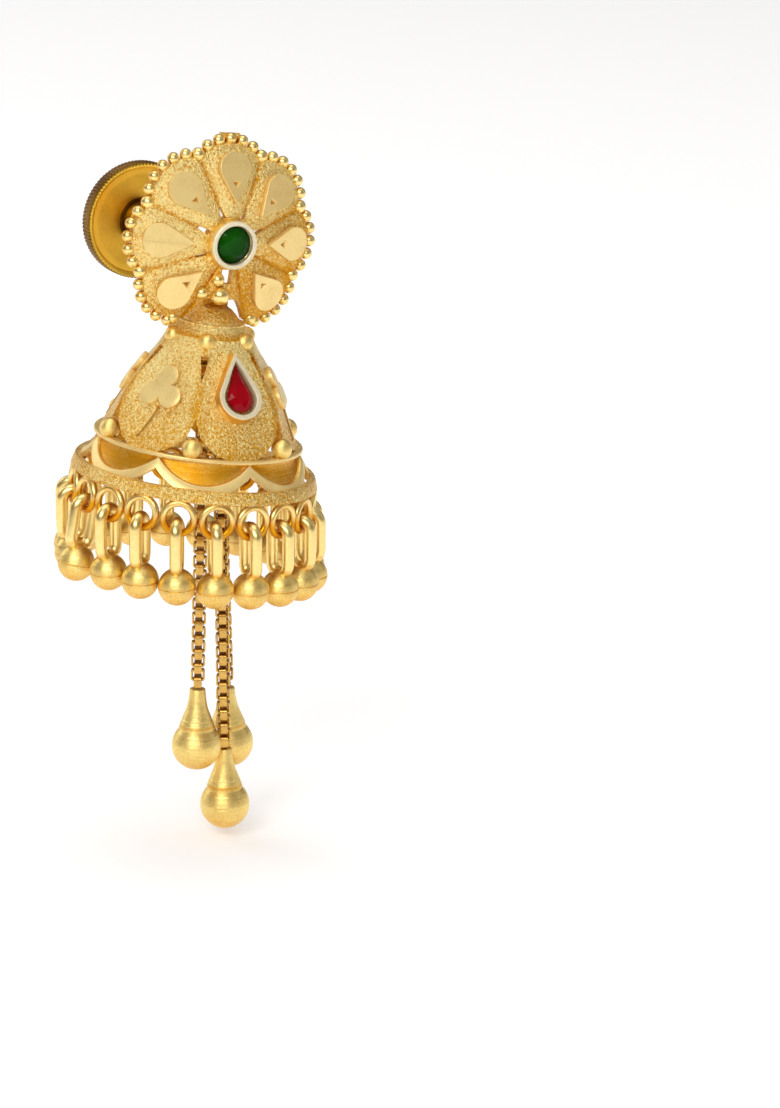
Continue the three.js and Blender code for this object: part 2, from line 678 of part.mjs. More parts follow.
function rail() {
  const low = PETAL_FOOT_HEIGHT + RAIL_THICK;
  return latheOnBell([
    [RAIL_RADIUS, PETAL_FOOT_HEIGHT], [RAIL_RADIUS, low],
    [PETAL_FOOT_RADIUS - RAIL_SEAT, low], [PETAL_FOOT_RADIUS - RAIL_SEAT, PETAL_FOOT_HEIGHT],
  ], 20);
}

function hoopBand() {
  const low = HOOP_TOP + HOOP_HEIGHT;
  return latheOnBell([
    [HOOP_RADIUS - HOOP_FLARE, HOOP_TOP], [HOOP_RADIUS, low],
    [HOOP_RADIUS - HOOP_WALL, low], [HOOP_RADIUS - HOOP_FLARE - HOOP_WALL, HOOP_TOP],
  ], 24);
}

function ringAngles() {
  return Array.from({ length: RINGS }, (_, i) => RING_PHASE + (360 * i) / RINGS);
}

function ringHeight() {
  return HOOP_TOP + HOOP_HEIGHT + RING_MEAN + RING_WIRE - RING_SINK;
}

function hoopRings() {
  return ringAngles().map((angle) => {
    const ring = new THREE.TorusGeometry(RING_MEAN, RING_WIRE, 5, 10);
    ring.rotateX(Math.PI / 2).rotateZ(angle * RAD);
    const at = bellPoint(RING_CIRCLE, angle, ringHeight());
    return solidOf(ring.translate(at.x, at.y, at.z));
  });
}

// A plain bar across the inside of the neck, which carries the chains.
function hangerBar() {
  const length = 2 * (NECK_RADIUS - BELL_WALL / 2);
  const bar = new THREE.CylinderGeometry(HANGER_WIRE, HANGER_WIRE, length, 8).rotateZ(Math.PI / 2);
  return solidOf(bar.translate(0, -BELL_AXIS_FORWARD, -HANGER_HEIGHT));
}

function bell() {
  const angles = Array.from({ length: BELL_PETALS }, (_, i) => (360 * i) / BELL_PETALS);
  const trefoils = angles.filter((angle) => !STONE_ANGLES.includes(angle)).map(trefoil);
  const seatHeight = 2 * (TAB_END + 3 * FIT - CAP_TOP);
  const seat = new THREE.BoxGeometry(TAB_WIDTH + 2 * FIT, TAB_WALL + 2 * FIT, seatHeight);
  seat.translate(0, -BELL_AXIS_FORWARD, -CAP_TOP);
  const walls = cut(bellWall(), slits());
  const capped = cap().subtract(solidOf(seat));
  return joined([
    walls, capped, ...bellBalls(), ...trefoils, ...STONE_ANGLES.map(pearCollet),
    rail(), skirt(), hoopBand(), ...hoopRings(), hangerBar(),
  ]);
}

// A drop hangs from the middle of its ring's wire at the origin, with its loop in
// the XZ plane.
function dropGeometry() {
  const top = RING_WIRE + LOOP_PLAY + LOOP_WIRE - LOOP_HALF_WIDTH;
  const foot = LOOP_HALF_WIDTH - BALL_HANG + BALL_RADIUS * (1 - LOOP_SINK);
  const rows = [0, 60, 120, 180, 180, 270, 360].map((turn, station) => {
    const outward = new THREE.Vector3(Math.cos(turn * RAD), 0, Math.sin(turn * RAD));
    const height = station < 4 ? top : foot;
    const middle = new THREE.Vector3(0, 0, height).addScaledVector(outward, LOOP_HALF_WIDTH);
    return [0, 72, 144, 216, 288].map((round) => {
      const p = middle.clone().addScaledVector(outward, LOOP_WIRE * Math.cos(round * RAD));
      p.y += LOOP_WIRE * Math.sin(round * RAD);
      return p;
    });
  });
  const bead = ball(BALL_RADIUS, new THREE.Vector3(0, 0, -BALL_HANG), 4);
  return geometryOf(loopedSurface(rows).add(bead));
}

// A cone with a short straight foot on its ball, whose centre is at the origin.
function endDropGeometry() {
  const start = Math.acos(CONE_FOOT_RADIUS / END_BALL);
  const cone = [
    [0, CONE_TOP], [CONE_TOP_RADIUS, CONE_TOP], [CONE_TOP_RADIUS * 1.15, CONE_TOP * 0.77],
    [CONE_FOOT_RADIUS * 0.76, CONE_TOP * 0.58], [CONE_FOOT_RADIUS, END_BALL * Math.sin(start) + CONE_BAND],
  ];
  const arc = [];
  const steps = 6;
  for (let i = 1; i <= steps; i += 1) {
    const turn = start - ((start + Math.PI / 2) * i) / steps;
    arc.push([END_BALL * Math.cos(turn), END_BALL * Math.sin(turn)]);
  }
  const outline = [...cone, ...arc].map(([x, y]) => new THREE.Vector2(x, y));
  outline[outline.length - 1].x = 0;
  return geometryOf(positive(new THREE.LatheGeometry(outline, 10).rotateX(Math.PI / 2)));
}

// Where each chain's ball hangs: right of and behind the middle of the flower, as
// shares of the ball's radius, and under it as a share of the lowest one's drop.
const CHAINS = [
  { name: 'left', across: -1.296, behind: -0.574, share: 0.885 },
  { name: 'middle', across: -0.037, behind: -0.599, share: 1 },
  { name: 'back', across: 0.667, behind: 0.5, share: 0.9063 },
];

function chainTube(top, end) {
  const section = new THREE.Shape();
  section.absarc(0, 0, CHAIN_RADIUS, 0, 2 * Math.PI, false);
  const round = new THREE.Shape(section.getPoints(2));
  const path = new THREE.LineCurve3(top, end);
  return new THREE.ExtrudeGeometry(round, { steps: 12, bevelEnabled: false, extrudePath: path });
}

function screwBackGeometry() {
  const bore = POST_RADIUS + FIT;
  const dish = NUT_DISH;
  const profile = [
    [bore, -BOSS_STAND], [BOSS_RADIUS - NUT_BEVEL, -BOSS_STAND], [BOSS_RADIUS, -BOSS_STAND + NUT_BEVEL],
    [BOSS_RADIUS, dish + BOSS_GROOVE], [BOSS_RADIUS + BOSS_GROOVE, dish + BOSS_GROOVE],
    [BOSS_RADIUS + BOSS_GROOVE, dish], [NUT_RADIUS - NUT_RIM - dish, dish * 0.8],
    [NUT_RADIUS - NUT_RIM, 0], [NUT_RADIUS - NUT_BEVEL, 0], [NUT_RADIUS, NUT_BEVEL],
    [NUT_RADIUS, NUT_THICK - NUT_BEVEL], [NUT_RADIUS - NUT_BEVEL, NUT_THICK], [bore, NUT_THICK],
  ].map(([radius, y]) => new THREE.Vector2(radius, y));
  profile.push(profile[0].clone());
  return geometryOf(positive(new THREE.LatheGeometry(profile, 16)));
}

// Flower and bell, which lean together about the post
const leaning = new THREE.Group();
leaning.rotation.y = LEAN * RAD;
const tilt = new THREE.Vector3(0, 0, POST_DROP).applyAxisAngle(new THREE.Vector3(0, 1, 0), LEAN * RAD);
leaning.position.set(tilt.x, -RIM_TO_BACK, tilt.z);
earring.add(leaning);
leaning.updateMatrixWorld(true);

function fromLeaning(point) {
  return point.clone().applyMatrix4(leaning.matrixWorld);
}

addPiece('flower_top', geometryOf(flowerTop()), GOLD, leaning);
const stoneRadius = COLLET_RADIUS - COLLET_WALL - FIT;
const green = roundStone(stoneRadius, GREEN_TABLE_STAND + STONE_EDGE, STONE_SEAT - STONE_EDGE);
green.rotateX(Math.PI / 2).translate(0, -(COLLET_FRONT - STONE_EDGE), 0);
addPiece('centre_stone', geometryOf(solidOf(green)), GREEN, leaning);
addPiece('bell', geometryOf(bell()), GOLD, leaning);

STONE_ANGLES.forEach((angle, i) => {
  const pear = pearStone(PEAR_WIDTH, PEAR_LENGTH, PEAR_TABLE, PEAR_DEPTH).rotateZ(Math.PI);
  pear.translate(0, 0, PEAR_STAND - PEAR_EDGE);
  const seated = solidOf(onBell(pear, angle, heightAt(PEAR_SHARE)));
  addPiece(`red_stone_${i + 1}`, geometryOf(seated), RED, leaning);
});

// Ball drops, one on each ring of the hoop
ringAngles().forEach((angle, i) => {
  const wire = bellPoint(RING_CIRCLE, angle, ringHeight() + RING_MEAN);
  const drop = addPiece(`ball_drop_${String(i + 1).padStart(2, '0')}`, dropGeometry(), POLISHED, earring);
  drop.position.copy(fromLeaning(wire));
  const swing = i + 1 === SWUNG_DROP ? SWING : 0;
  drop.rotation.set(0, -swing * RAD, (angle - 90) * RAD, 'ZYX');
});

// Chains and their end drops
const hook = fromLeaning(new THREE.Vector3(0, -BELL_AXIS_FORWARD, -(HANGER_HEIGHT + HANGER_WIRE)));
CHAINS.forEach((chain) => {
  const across = tilt.x + END_BALL * chain.across;
  const behind = END_BALL * chain.behind - RIM_TO_BACK;
  const ballCentre = new THREE.Vector3(across, behind, tilt.z - TASSEL_DROP * chain.share);
  const away = new THREE.Vector3(ballCentre.x - hook.x, ballCentre.y - hook.y, 0).normalize();
  const top = hook.clone().addScaledVector(away, CHAIN_TOP_SPREAD);
  top.z -= FIT;
  const line = ballCentre.clone().sub(top).normalize();
  const end = ballCentre.clone().addScaledVector(line, -(CONE_TOP + FIT));
  addPiece(`chain_${chain.name}`, geometryOf(solidOf(chainTube(top, end))), GOLD, earring);
  const drop = addPiece(`end_drop_${chain.name}`, endDropGeometry(), POLISHED, earring);
  drop.position.copy(ballCentre);
  drop.quaternion.setFromUnitVectors(new THREE.Vector3(0, 0, -1), line);
});

// Ear post and its screw back, both on the +Y axis
const post = new THREE.CylinderGeometry(POST_RADIUS, POST_RADIUS, POST_LENGTH, 16);
post.translate(0, POST_LENGTH / 2 - POST_FRONT, 0);
addPiece('ear_post', geometryOf(solidOf(post)), GOLD, earring);
addPiece('screw_back', screwBackGeometry(), GOLD, earring).position.y = NUT_FRONT;

export default earring;
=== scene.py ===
import logging
import math
from dataclasses import dataclass
from enum import Enum
from functools import lru_cache
from typing import Callable, Sequence

import bmesh
import bpy
from mathutils import Matrix, Vector


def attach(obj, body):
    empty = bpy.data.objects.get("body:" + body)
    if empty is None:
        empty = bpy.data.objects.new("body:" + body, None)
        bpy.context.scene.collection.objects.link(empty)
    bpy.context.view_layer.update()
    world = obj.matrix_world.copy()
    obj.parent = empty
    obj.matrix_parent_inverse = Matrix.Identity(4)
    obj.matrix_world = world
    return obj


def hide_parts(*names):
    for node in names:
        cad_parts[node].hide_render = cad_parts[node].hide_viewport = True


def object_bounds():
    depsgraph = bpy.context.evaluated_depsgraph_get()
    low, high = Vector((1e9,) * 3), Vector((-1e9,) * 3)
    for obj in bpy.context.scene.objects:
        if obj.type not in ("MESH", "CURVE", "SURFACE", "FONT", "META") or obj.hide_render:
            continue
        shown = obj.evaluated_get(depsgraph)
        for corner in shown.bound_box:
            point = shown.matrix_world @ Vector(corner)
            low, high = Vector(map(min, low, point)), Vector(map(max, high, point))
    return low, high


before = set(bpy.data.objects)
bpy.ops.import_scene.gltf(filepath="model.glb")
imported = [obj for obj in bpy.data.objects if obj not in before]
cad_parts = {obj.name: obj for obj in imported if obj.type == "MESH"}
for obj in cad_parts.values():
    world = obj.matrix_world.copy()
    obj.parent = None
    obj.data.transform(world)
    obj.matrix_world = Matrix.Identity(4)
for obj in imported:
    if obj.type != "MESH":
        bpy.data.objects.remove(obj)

CAD_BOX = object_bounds()
LOG = logging.getLogger("jhumka")

# Lengths are in millimetres and angles in degrees, where a docstring doesn't say otherwise.
MM = 0.001  # a millimetre in metres
SAME_POINT = 1e-5  # corners nearer than this are one corner
SLIVER = 5e-4  # edges shorter than this are closed up after a cut
ON_AXIS = 1e-4  # radius of a turned form's ends, which aren't quite closed
GIRDLE_EDGE = 0.06  # height of the narrow edge round a cut stone

Row = list[Vector]
Outline = Sequence[tuple[float, float]]
Colour = tuple[float, float, float, float]
Placing = Callable[[Vector], Vector]
Shade = Callable[[Vector], float]
Patch = Callable[[float, float, float], Vector]


class Finish(Enum):
    """The finishes that a piece of this earring can have."""

    SANDED = "sanded gold"
    POLISHED = "polished gold"
    SATIN = "satin gold"
    PALE = "pale satin gold"
    DISC = "brushed deep gold"
    CHAIN = "chain gold"
    WHITE_RIM = "white rim"
    GREEN = "green stone"
    RED = "red stone"


# Shader building


class Signal:
    """A shader socket on which Python's operators build Math nodes."""

    def __init__(self, bench: "Bench", socket: bpy.types.NodeSocket) -> None:
        """Wrap one output socket.

        Args:
            bench: The material under construction.
            socket: The output socket that this signal reads.
        """
        self.bench = bench
        self.socket = socket

    def _math(self, operation: str, first: object, second: object) -> "Signal":
        """Add a Math node.

        Args:
            operation: The Math node's operation.
            first: Its first value or signal.
            second: Its second value or signal.

        Returns:
            The node's result.
        """
        return self.bench.node("ShaderNodeMath", {"operation": operation}, {0: first, 1: second})

    def __add__(self, other: object) -> "Signal":
        """Return self + other."""
        return self._math("ADD", self, other)

    def __radd__(self, other: object) -> "Signal":
        """Return other + self."""
        return self._math("ADD", other, self)

    def __sub__(self, other: object) -> "Signal":
        """Return self - other."""
        return self._math("SUBTRACT", self, other)

    def __rsub__(self, other: object) -> "Signal":
        """Return other - self."""
        return self._math("SUBTRACT", other, self)

    def __mul__(self, other: object) -> "Signal":
        """Return self * other."""
        return self._math("MULTIPLY", self, other)

    def __rmul__(self, other: object) -> "Signal":
        """Return other * self."""
        return self._math("MULTIPLY", other, self)

    def clamped(self) -> "Signal":
        """Return the signal kept between 0 and 1."""
        return self._math("MINIMUM", self._math("MAXIMUM", self, 0.0), 1.0)


class Bench:
    """The nodes of a material or of the surroundings, with one method that adds any node."""

    def __init__(self, tree: bpy.types.NodeTree, end: str) -> None:
        """Take up a tree of nodes.

        Args:
            tree: The tree.
            end: The name of the node that shades the result.
        """
        self.tree = tree
        self.shader = tree.nodes[end]

    def node(self, kind: str, settings: dict, inputs: dict, output: int | str = 0) -> Signal:
        """Add a node, set it up and link it.

        Args:
            kind: The node's type.
            settings: Its properties. The name "stops" fills a colour ramp.
            inputs: Values or signals by socket name or index.
            output: The output socket that the result reads.

        Returns:
            The chosen output as a signal.
        """
        made = self.tree.nodes.new(kind)
        for key, value in settings.items():
            if key == "stops":
                self._fill_ramp(made, value)
            else:
                setattr(made, key, value)
        for key, value in inputs.items():
            if isinstance(value, Signal):
                self.tree.links.new(value.socket, made.inputs[key])
            else:
                made.inputs[key].default_value = value
        return Signal(self, made.outputs[output])

    @staticmethod
    def _fill_ramp(made: bpy.types.Node, stops: Sequence[tuple[float, Colour]]) -> None:
        """Give a colour ramp its stops.

        Args:
            made: The ramp's node.
            stops: The stops, each a place and a colour.
        """
        ramp = made.color_ramp
        while len(ramp.elements) > len(stops):
            ramp.elements.remove(ramp.elements[-1])
        while len(ramp.elements) < len(stops):
            ramp.elements.new(1.0)
        for element, (place, colour) in zip(ramp.elements, stops):
            element.position = place
            element.color = colour

    def set(self, **sockets: object) -> None:
        """Set or link sockets of the node that shades the result.

        Args:
            sockets: Values or signals, with _ for a space in the socket's name.
        """
        for key, value in sockets.items():
            socket = self.shader.inputs[key.replace("_", " ")]
            if isinstance(value, Signal):
                self.tree.links.new(value.socket, socket)
            else:
                socket.default_value = value

    def place(self) -> Signal:
        """Return the piece's own coordinates in millimetres."""
        here = self.node("ShaderNodeTexCoord", {}, {}, "Object")
        return self.node("ShaderNodeVectorMath", {"operation": "SCALE"}, {0: here, "Scale": 1 / MM})

    def noise(self, scale: float, detail: float = 2.0, rough: float = 0.5) -> Signal:
        """Return noise with so many grains a millimetre."""
        values = {"Vector": self.place(), "Scale": scale, "Detail": detail, "Roughness": rough}
        return self.node("ShaderNodeTexNoise", {}, values)

    def attribute(self, name: str) -> Signal:
        """Return a vertex value that a piece carries."""
        return self.node("ShaderNodeAttribute", {"attribute_name": name}, {}, "Fac")

    def mix(self, share: object, first: object, second: object) -> Signal:
        """Return a colour between two.

        Args:
            share: How much of the second colour there is.
            first: The first colour.
            second: The second colour.

        Returns:
            The mixed colour.
        """
        settings = {"data_type": "RGBA"}
        return self.node("ShaderNodeMix", settings, {0: share, 6: first, 7: second}, 2)

    def bump(self, height: Signal, depth: float) -> Signal:
        """Return a normal bumped by a height.

        Args:
            height: The height, from 0 to 1.
            depth: What 1 stands for.

        Returns:
            The bumped normal.
        """
        return self.node("ShaderNodeBump", {}, {"Height": height, "Distance": depth * MM}, "Normal")


def start_material(name: str) -> tuple[bpy.types.Material, Bench]:
    """Start a material.

    Args:
        name: The material's name.

    Returns:
        The material, and the bench on which its nodes are made.
    """
    material = bpy.data.materials.new(name)
    material.use_nodes = True
    return material, Bench(material.node_tree, "Principled BSDF")


def rgba(red: float, green: float, blue: float) -> Colour:
    """Return an opaque colour."""
    return (red, green, blue, 1.0)


@dataclass(frozen=True)
class GoldFinish:
    """A gold surface with grain, turning lines and painted shade: a deeper colour mixed in where shade would fall
    on the piece.

    The grain and the turned lines are so many a millimetre. The speckle and the tint say how much of the deep
    colour shows between the grains and all over.
    """

    light: Colour
    deep: Colour
    roughness: float
    grain: float
    grain_depth: float
    speckle: float
    turned_lines: float = 0.0
    tint: float = 0.0
    metallic: float = 1.0

    CLOUD_SCALE = 0.6
    CLOUD_TINT = 0.6
    CLOUD_DULLNESS = 0.12
    TINT_DULLNESS = 0.08
    FINE_GRAIN = 2.3
    GRAIN_UNDER_LINES = 0.25

    def make(self, name: str) -> bpy.types.Material:
        """Build the material.

        Args:
            name: The material's name.

        Returns:
            The finished material.
        """
        material, bench = start_material(name)
        grain = bench.noise(self.grain, 3.0, 0.65)
        cloud = bench.noise(self.CLOUD_SCALE)
        # Painted shade: each piece's per-point value darkens the gold towards the deep colour where shade would
        # fall.
        painted_shade = bench.attribute("painted_shade")
        fine = bench.noise(self.grain * self.FINE_GRAIN, 1.0)
        speckles = (1.0 - grain - fine) * self.speckle
        # Share of the deep colour: painted shade, plus grain speckle, a random cloudy tone and an even tint.
        share = (painted_shade + speckles + (0.5 - cloud) * self.CLOUD_TINT + self.tint).clamped()
        height = grain
        if self.turned_lines:
            lines = bench.attribute("turning")
            scratch = bench.node("ShaderNodeTexNoise", {"noise_dimensions": "1D"},
                                 {"W": lines, "Scale": self.turned_lines, "Detail": 2.0})
            height = grain * self.GRAIN_UNDER_LINES + scratch
        dullness = self.roughness + (cloud - 0.5) * self.CLOUD_DULLNESS + share * self.TINT_DULLNESS
        bench.set(
            Base_Color=bench.mix(share, self.light, self.deep),
            Metallic=self.metallic,
            Roughness=dullness.clamped(),
            Normal=bench.bump(height, self.grain_depth),
        )
        return material


@dataclass(frozen=True)
class StoneFinish:
    """A cut stone with fine flaws, and painted light and shade: a lighter body that darkens towards its edges."""

    body: Colour
    edge: Colour
    refraction: float

    def make(self, name: str) -> bpy.types.Material:
        """Build the material.

        Args:
            name: The material's name.

        Returns:
            The finished material.
        """
        material, bench = start_material(name)
        flaws = bench.noise(2.2, 3.0, 0.6)
        # Painted shade: the colour goes from the lighter body to the darker edge colour as the per-point painted
        # shade grows.
        rim = bench.attribute("painted_shade")
        bench.set(
            Base_Color=bench.mix((rim + (flaws - 0.5) * 0.7).clamped(), self.body, self.edge),
            Roughness=(0.05 + flaws * 0.06).clamped(),
            IOR=self.refraction,
            Coat_Weight=0.04,
            Coat_Roughness=0.03,
        )
        return material


FINISHES: dict[Finish, GoldFinish | StoneFinish] = {
    Finish.SANDED: GoldFinish(
        rgba(1.0, 0.83, 0.36), rgba(0.74, 0.34, 0.008),
        roughness=0.34, grain=5.5, grain_depth=0.17, speckle=2.9, tint=0.22,
    ),
    Finish.POLISHED: GoldFinish(
        rgba(1.0, 0.79, 0.32), rgba(0.74, 0.33, 0.012),
        roughness=0.3, grain=3.0, grain_depth=0.004, speckle=0.3, tint=0.1,
    ),
    Finish.SATIN: GoldFinish(
        rgba(1.0, 0.78, 0.28), rgba(0.72, 0.32, 0.01),
        roughness=0.35, grain=7.0, grain_depth=0.028, speckle=0.9, turned_lines=16.0, tint=0.14,
    ),
    Finish.PALE: GoldFinish(
        rgba(0.97, 0.73, 0.29), rgba(0.5, 0.22, 0.015),
        roughness=0.36, grain=5.0, grain_depth=0.012, speckle=0.35, tint=0.06, metallic=0.5,
    ),
    # The chains' deep colour is painted shade towards each chain's core.
    Finish.CHAIN: GoldFinish(
        rgba(0.76, 0.46, 0.12), rgba(0.16, 0.055, 0.004),
        roughness=0.24, grain=6.0, grain_depth=0.006, speckle=0.6, tint=0.15,
    ),
    # The disc's near-black deep colour is painted shade on the milled edge and in the groove round the boss.
    Finish.DISC: GoldFinish(
        rgba(1.0, 0.65, 0.08), rgba(0.2, 0.09, 0.004),
        roughness=0.33, grain=5.0, grain_depth=0.01, speckle=0.25, turned_lines=14.0,
    ),
    Finish.WHITE_RIM: GoldFinish(
        rgba(0.9, 0.8, 0.56), rgba(0.62, 0.42, 0.14),
        roughness=0.42, grain=6.0, grain_depth=0.05, speckle=0.9, metallic=0.45,
    ),
    # Stones: the body colour shows where the painted shade is low, the edge colour where it is high.
    Finish.GREEN: StoneFinish(rgba(0.004, 0.085, 0.0), rgba(0.0, 0.03, 0.0), 1.18),
    Finish.RED: StoneFinish(rgba(0.42, 0.0, 0.006), rgba(0.18, 0.0, 0.003), 1.2),
}


@lru_cache(maxsize=None)
def material_of(finish: Finish) -> bpy.types.Material:
    """Return a finish's material, which is built once."""
    return FINISHES[finish].make(finish.value.replace(" ", "_"))


# Mesh building


class Clay:
    """Collects closed surfaces in millimetres and makes one object of them."""

    def __init__(self) -> None:
        """Start with nothing."""
        self.points: list[Vector] = []
        self.faces: list[tuple[int, ...]] = []
        self.face_finish: list[int] = []
        self.finishes: list[Finish] = []

    def _finish_index(self, finish: Finish) -> int:
        """Return the material slot of a finish, and add it if it is new.

        Args:
            finish: The finish.

        Returns:
            The slot's number.
        """
        if finish not in self.finishes:
            self.finishes.append(finish)
        return self.finishes.index(finish)

    def add(self, points: Sequence[Vector], faces: Sequence[tuple[int, ...]], finish: Finish) -> None:
        """Add a surface.

        Args:
            points: Its corners.
            faces: Its faces, by corner.
            finish: Its finish.
        """
        start = len(self.points)
        self.points.extend(points)
        self.faces.extend(tuple(start + i for i in face) for face in faces)
        self.face_finish.extend([self._finish_index(finish)] * len(faces))

    def loft(
        self,
        rows: Sequence[Row],
        finish: Finish,
        loop: bool = False,
        ring: bool = True,
        bands: dict[int, Finish] | None = None,
    ) -> None:
        """Add a surface through rows of points.

        Args:
            rows: Outlines with as many points each.
            finish: The finish.
            loop: Whether the last row joins the first. Otherwise both are capped.
            ring: Whether each row is a closed outline.
            bands: Other finishes, by the place of a face along its row.
        """
        across = len(rows[0])
        points = [p for row in rows for p in row]
        faces: list[tuple[int, ...]] = []
        special: dict[Finish, list[tuple[int, ...]]] = {}
        for i in range(len(rows) if loop else len(rows) - 1):
            after = (i + 1) % len(rows)
            for j in range(across if ring else across - 1):
                k = (j + 1) % across
                face = (i * across + j, i * across + k, after * across + k, after * across + j)
                if bands and j in bands:
                    special.setdefault(bands[j], []).append(face)
                else:
                    faces.append(face)
        if not loop:
            faces.append(tuple(range(across)))
            last = (len(rows) - 1) * across
            faces.append(tuple(last + j for j in range(across)))
        start = len(self.points)
        self.add(points, faces, finish)
        for other, group in special.items():
            self.faces.extend(tuple(start + i for i in face) for face in group)
            self.face_finish.extend([self._finish_index(other)] * len(group))

    def lathe(
        self,
        profile: Outline,
        sides: int,
        finish: Finish,
        place: Placing,
        bands: dict[int, Finish] | None = None,
    ) -> None:
        """Add a turned form.

        Args:
            profile: A closed outline of radii and places along the axis.
            sides: How many steps a turn has.
            finish: The finish.
            place: Puts a point, turned about Z, where it belongs.
            bands: Other finishes, by the place of a face along the profile.
        """
        rows = []
        for i in range(sides):
            turn = 2 * math.pi * i / sides
            rows.append([place(Vector((r * math.cos(turn), r * math.sin(turn), z))) for r, z in profile])
        self.loft(rows, finish, loop=True, bands=bands)

    def ball(self, radius: float, at: Vector, finish: Finish, sides: int = 24) -> None:
        """Add a ball.

        Args:
            radius: Its radius.
            at: Its centre.
            finish: The finish.
            sides: How many steps its equator has.
        """
        steps = sides // 2
        turns = [2 * math.pi * j / sides for j in range(sides)]
        rows = []
        for i in range(1, steps):
            up = math.pi * i / steps
            ring, z = radius * math.sin(up), radius * math.cos(up)
            rows.append([at + Vector((ring * math.cos(t), ring * math.sin(t), z)) for t in turns])
        self.loft(rows, finish)

    def ring(
        self, mean: float, wire: float, place: Placing, finish: Finish, sides: tuple[int, int] = (32, 12)
    ) -> None:
        """Add a ring of round wire, which lies in the XZ plane before it is placed.

        Args:
            mean: Radius to the middle of the wire.
            wire: The wire's radius.
            place: Puts a point where it belongs.
            finish: The finish.
            sides: Steps round the ring and round the wire.
        """
        rows = []
        for i in range(sides[0]):
            turn = 2 * math.pi * i / sides[0]
            out = Vector((math.cos(turn), 0, math.sin(turn)))
            row = []
            for j in range(sides[1]):
                around = 2 * math.pi * j / sides[1]
                point = out * (mean + wire * math.cos(around))
                point.y = wire * math.sin(around)
                row.append(place(point))
            rows.append(row)
        self.loft(rows, finish, loop=True)

    def object(
        self,
        name: str,
        painted_shade: Shade | None = None,
        turning: Shade | None = None,
        cutters: "Clay | None" = None,
        place: Placing | None = None,
        crease: float = 34.0,
    ) -> bpy.types.Object:
        """Make the object.

        Args:
            name: Its name.
            painted_shade: How much shade is painted on a point, from 0 to 1, where shade would fall.
            turning: A point's distance along the turned lines, in millimetres.
            cutters: What is cut away.
            place: Puts the finished points in the row frame, still in millimetres.
            crease: Edges sharper than this, in degrees, stay sharp.

        Returns:
            The object, with its mesh in metres and its finishes on it.
        """
        made = self._bare(name)
        if cutters is not None:
            _cut(made, cutters)
        mesh = made.data
        # Each point carries its painted shade and its place along the turned lines, for the materials to read.
        for label, value in (("painted_shade", painted_shade), ("turning", turning)):
            layer = mesh.attributes.new(label, "FLOAT", "POINT")
            numbers = [value(v.co) if value else 0.0 for v in mesh.vertices]
            layer.data.foreach_set("value", numbers)
        for vertex in mesh.vertices:
            point = vertex.co if place is None else place(vertex.co)
            vertex.co = point * MM
        mesh.polygons.foreach_set("use_smooth", [True] * len(mesh.polygons))
        mesh.set_sharp_from_angle(angle=math.radians(crease))
        mesh.update()
        return made

    def _bare(self, name: str) -> bpy.types.Object:
        """Build the object with its mesh in millimetres and its faces turned outwards.

        Args:
            name: Its name.

        Returns:
            The object.
        """
        mesh = bpy.data.meshes.new(name)
        mesh.from_pydata(self.points, [], self.faces)
        mesh.polygons.foreach_set("material_index", self.face_finish)
        shape = bmesh.new()
        shape.from_mesh(mesh)
        bmesh.ops.remove_doubles(shape, verts=shape.verts, dist=SAME_POINT)
        bmesh.ops.recalc_face_normals(shape, faces=shape.faces)
        shape.to_mesh(mesh)
        shape.free()
        for finish in self.finishes:
            mesh.materials.append(material_of(finish))
        made = bpy.data.objects.new(name, mesh)
        bpy.context.scene.collection.objects.link(made)
        return made


def _cut(target: bpy.types.Object, cutters: Clay) -> None:
    """Cut one set of closed forms out of an object.

    Args:
        target: The object that is cut.
        cutters: The forms that are taken away.
    """
    tool = cutters._bare("cutter")
    change = target.modifiers.new("cut", "BOOLEAN")
    change.operation = "DIFFERENCE"
    change.solver = "EXACT"
    change.use_self = True
    change.object = tool
    bpy.context.view_layer.update()
    carved = bpy.data.meshes.new_from_object(target.evaluated_get(bpy.context.evaluated_depsgraph_get()))
    target.modifiers.clear()
    shape = bmesh.new()
    shape.from_mesh(carved)
    bmesh.ops.remove_doubles(shape, verts=shape.verts, dist=SLIVER)
    bmesh.ops.dissolve_degenerate(shape, dist=SLIVER, edges=shape.edges)
    shape.to_mesh(carved)
    shape.free()
    old = target.data
    target.data = carved
    bpy.data.meshes.remove(old)
    spent = tool.data
    bpy.data.objects.remove(tool)
    bpy.data.meshes.remove(spent)


def mount_piece(piece: bpy.types.Object, nodes: Sequence[str], body: str = "root") -> None:
    """Let a piece ride on its body and hide the solids that it stands for.

    Args:
        piece: The piece.
        nodes: The solids that it replaces.
        body: The body that it rides on.
    """
    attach(piece, body)
    if nodes:
        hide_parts(*nodes)
    LOG.info("%s: %d faces", piece.name, len(piece.data.polygons))


# Shared forms


def tear_outline(width: float, length: float, steps: int = 40) -> list[tuple[float, float]]:
    """Return a teardrop with its point at the origin and its round end towards +Y.

    Args:
        width: Its greatest width.
        length: From its point to its round end.
        steps: Points on its round part.

    Returns:
        Its outline.
    """
    radius = width / 2
    middle = length - radius
    lean = math.acos(radius / middle)
    start, end = lean - math.pi / 2, math.pi * 1.5 - lean
    flank = 8
    side = (radius * math.cos(start), middle + radius * math.sin(start))
    outline = [(side[0] * i / flank, side[1] * i / flank) for i in range(flank)]
    for i in range(steps + 1):
        turn = start + (end - start) * i / steps
        outline.append((radius * math.cos(turn), middle + radius * math.sin(turn)))
    outline += [(-side[0] * i / flank, side[1] * i / flank) for i in range(flank - 1, 0, -1)]
    return outline


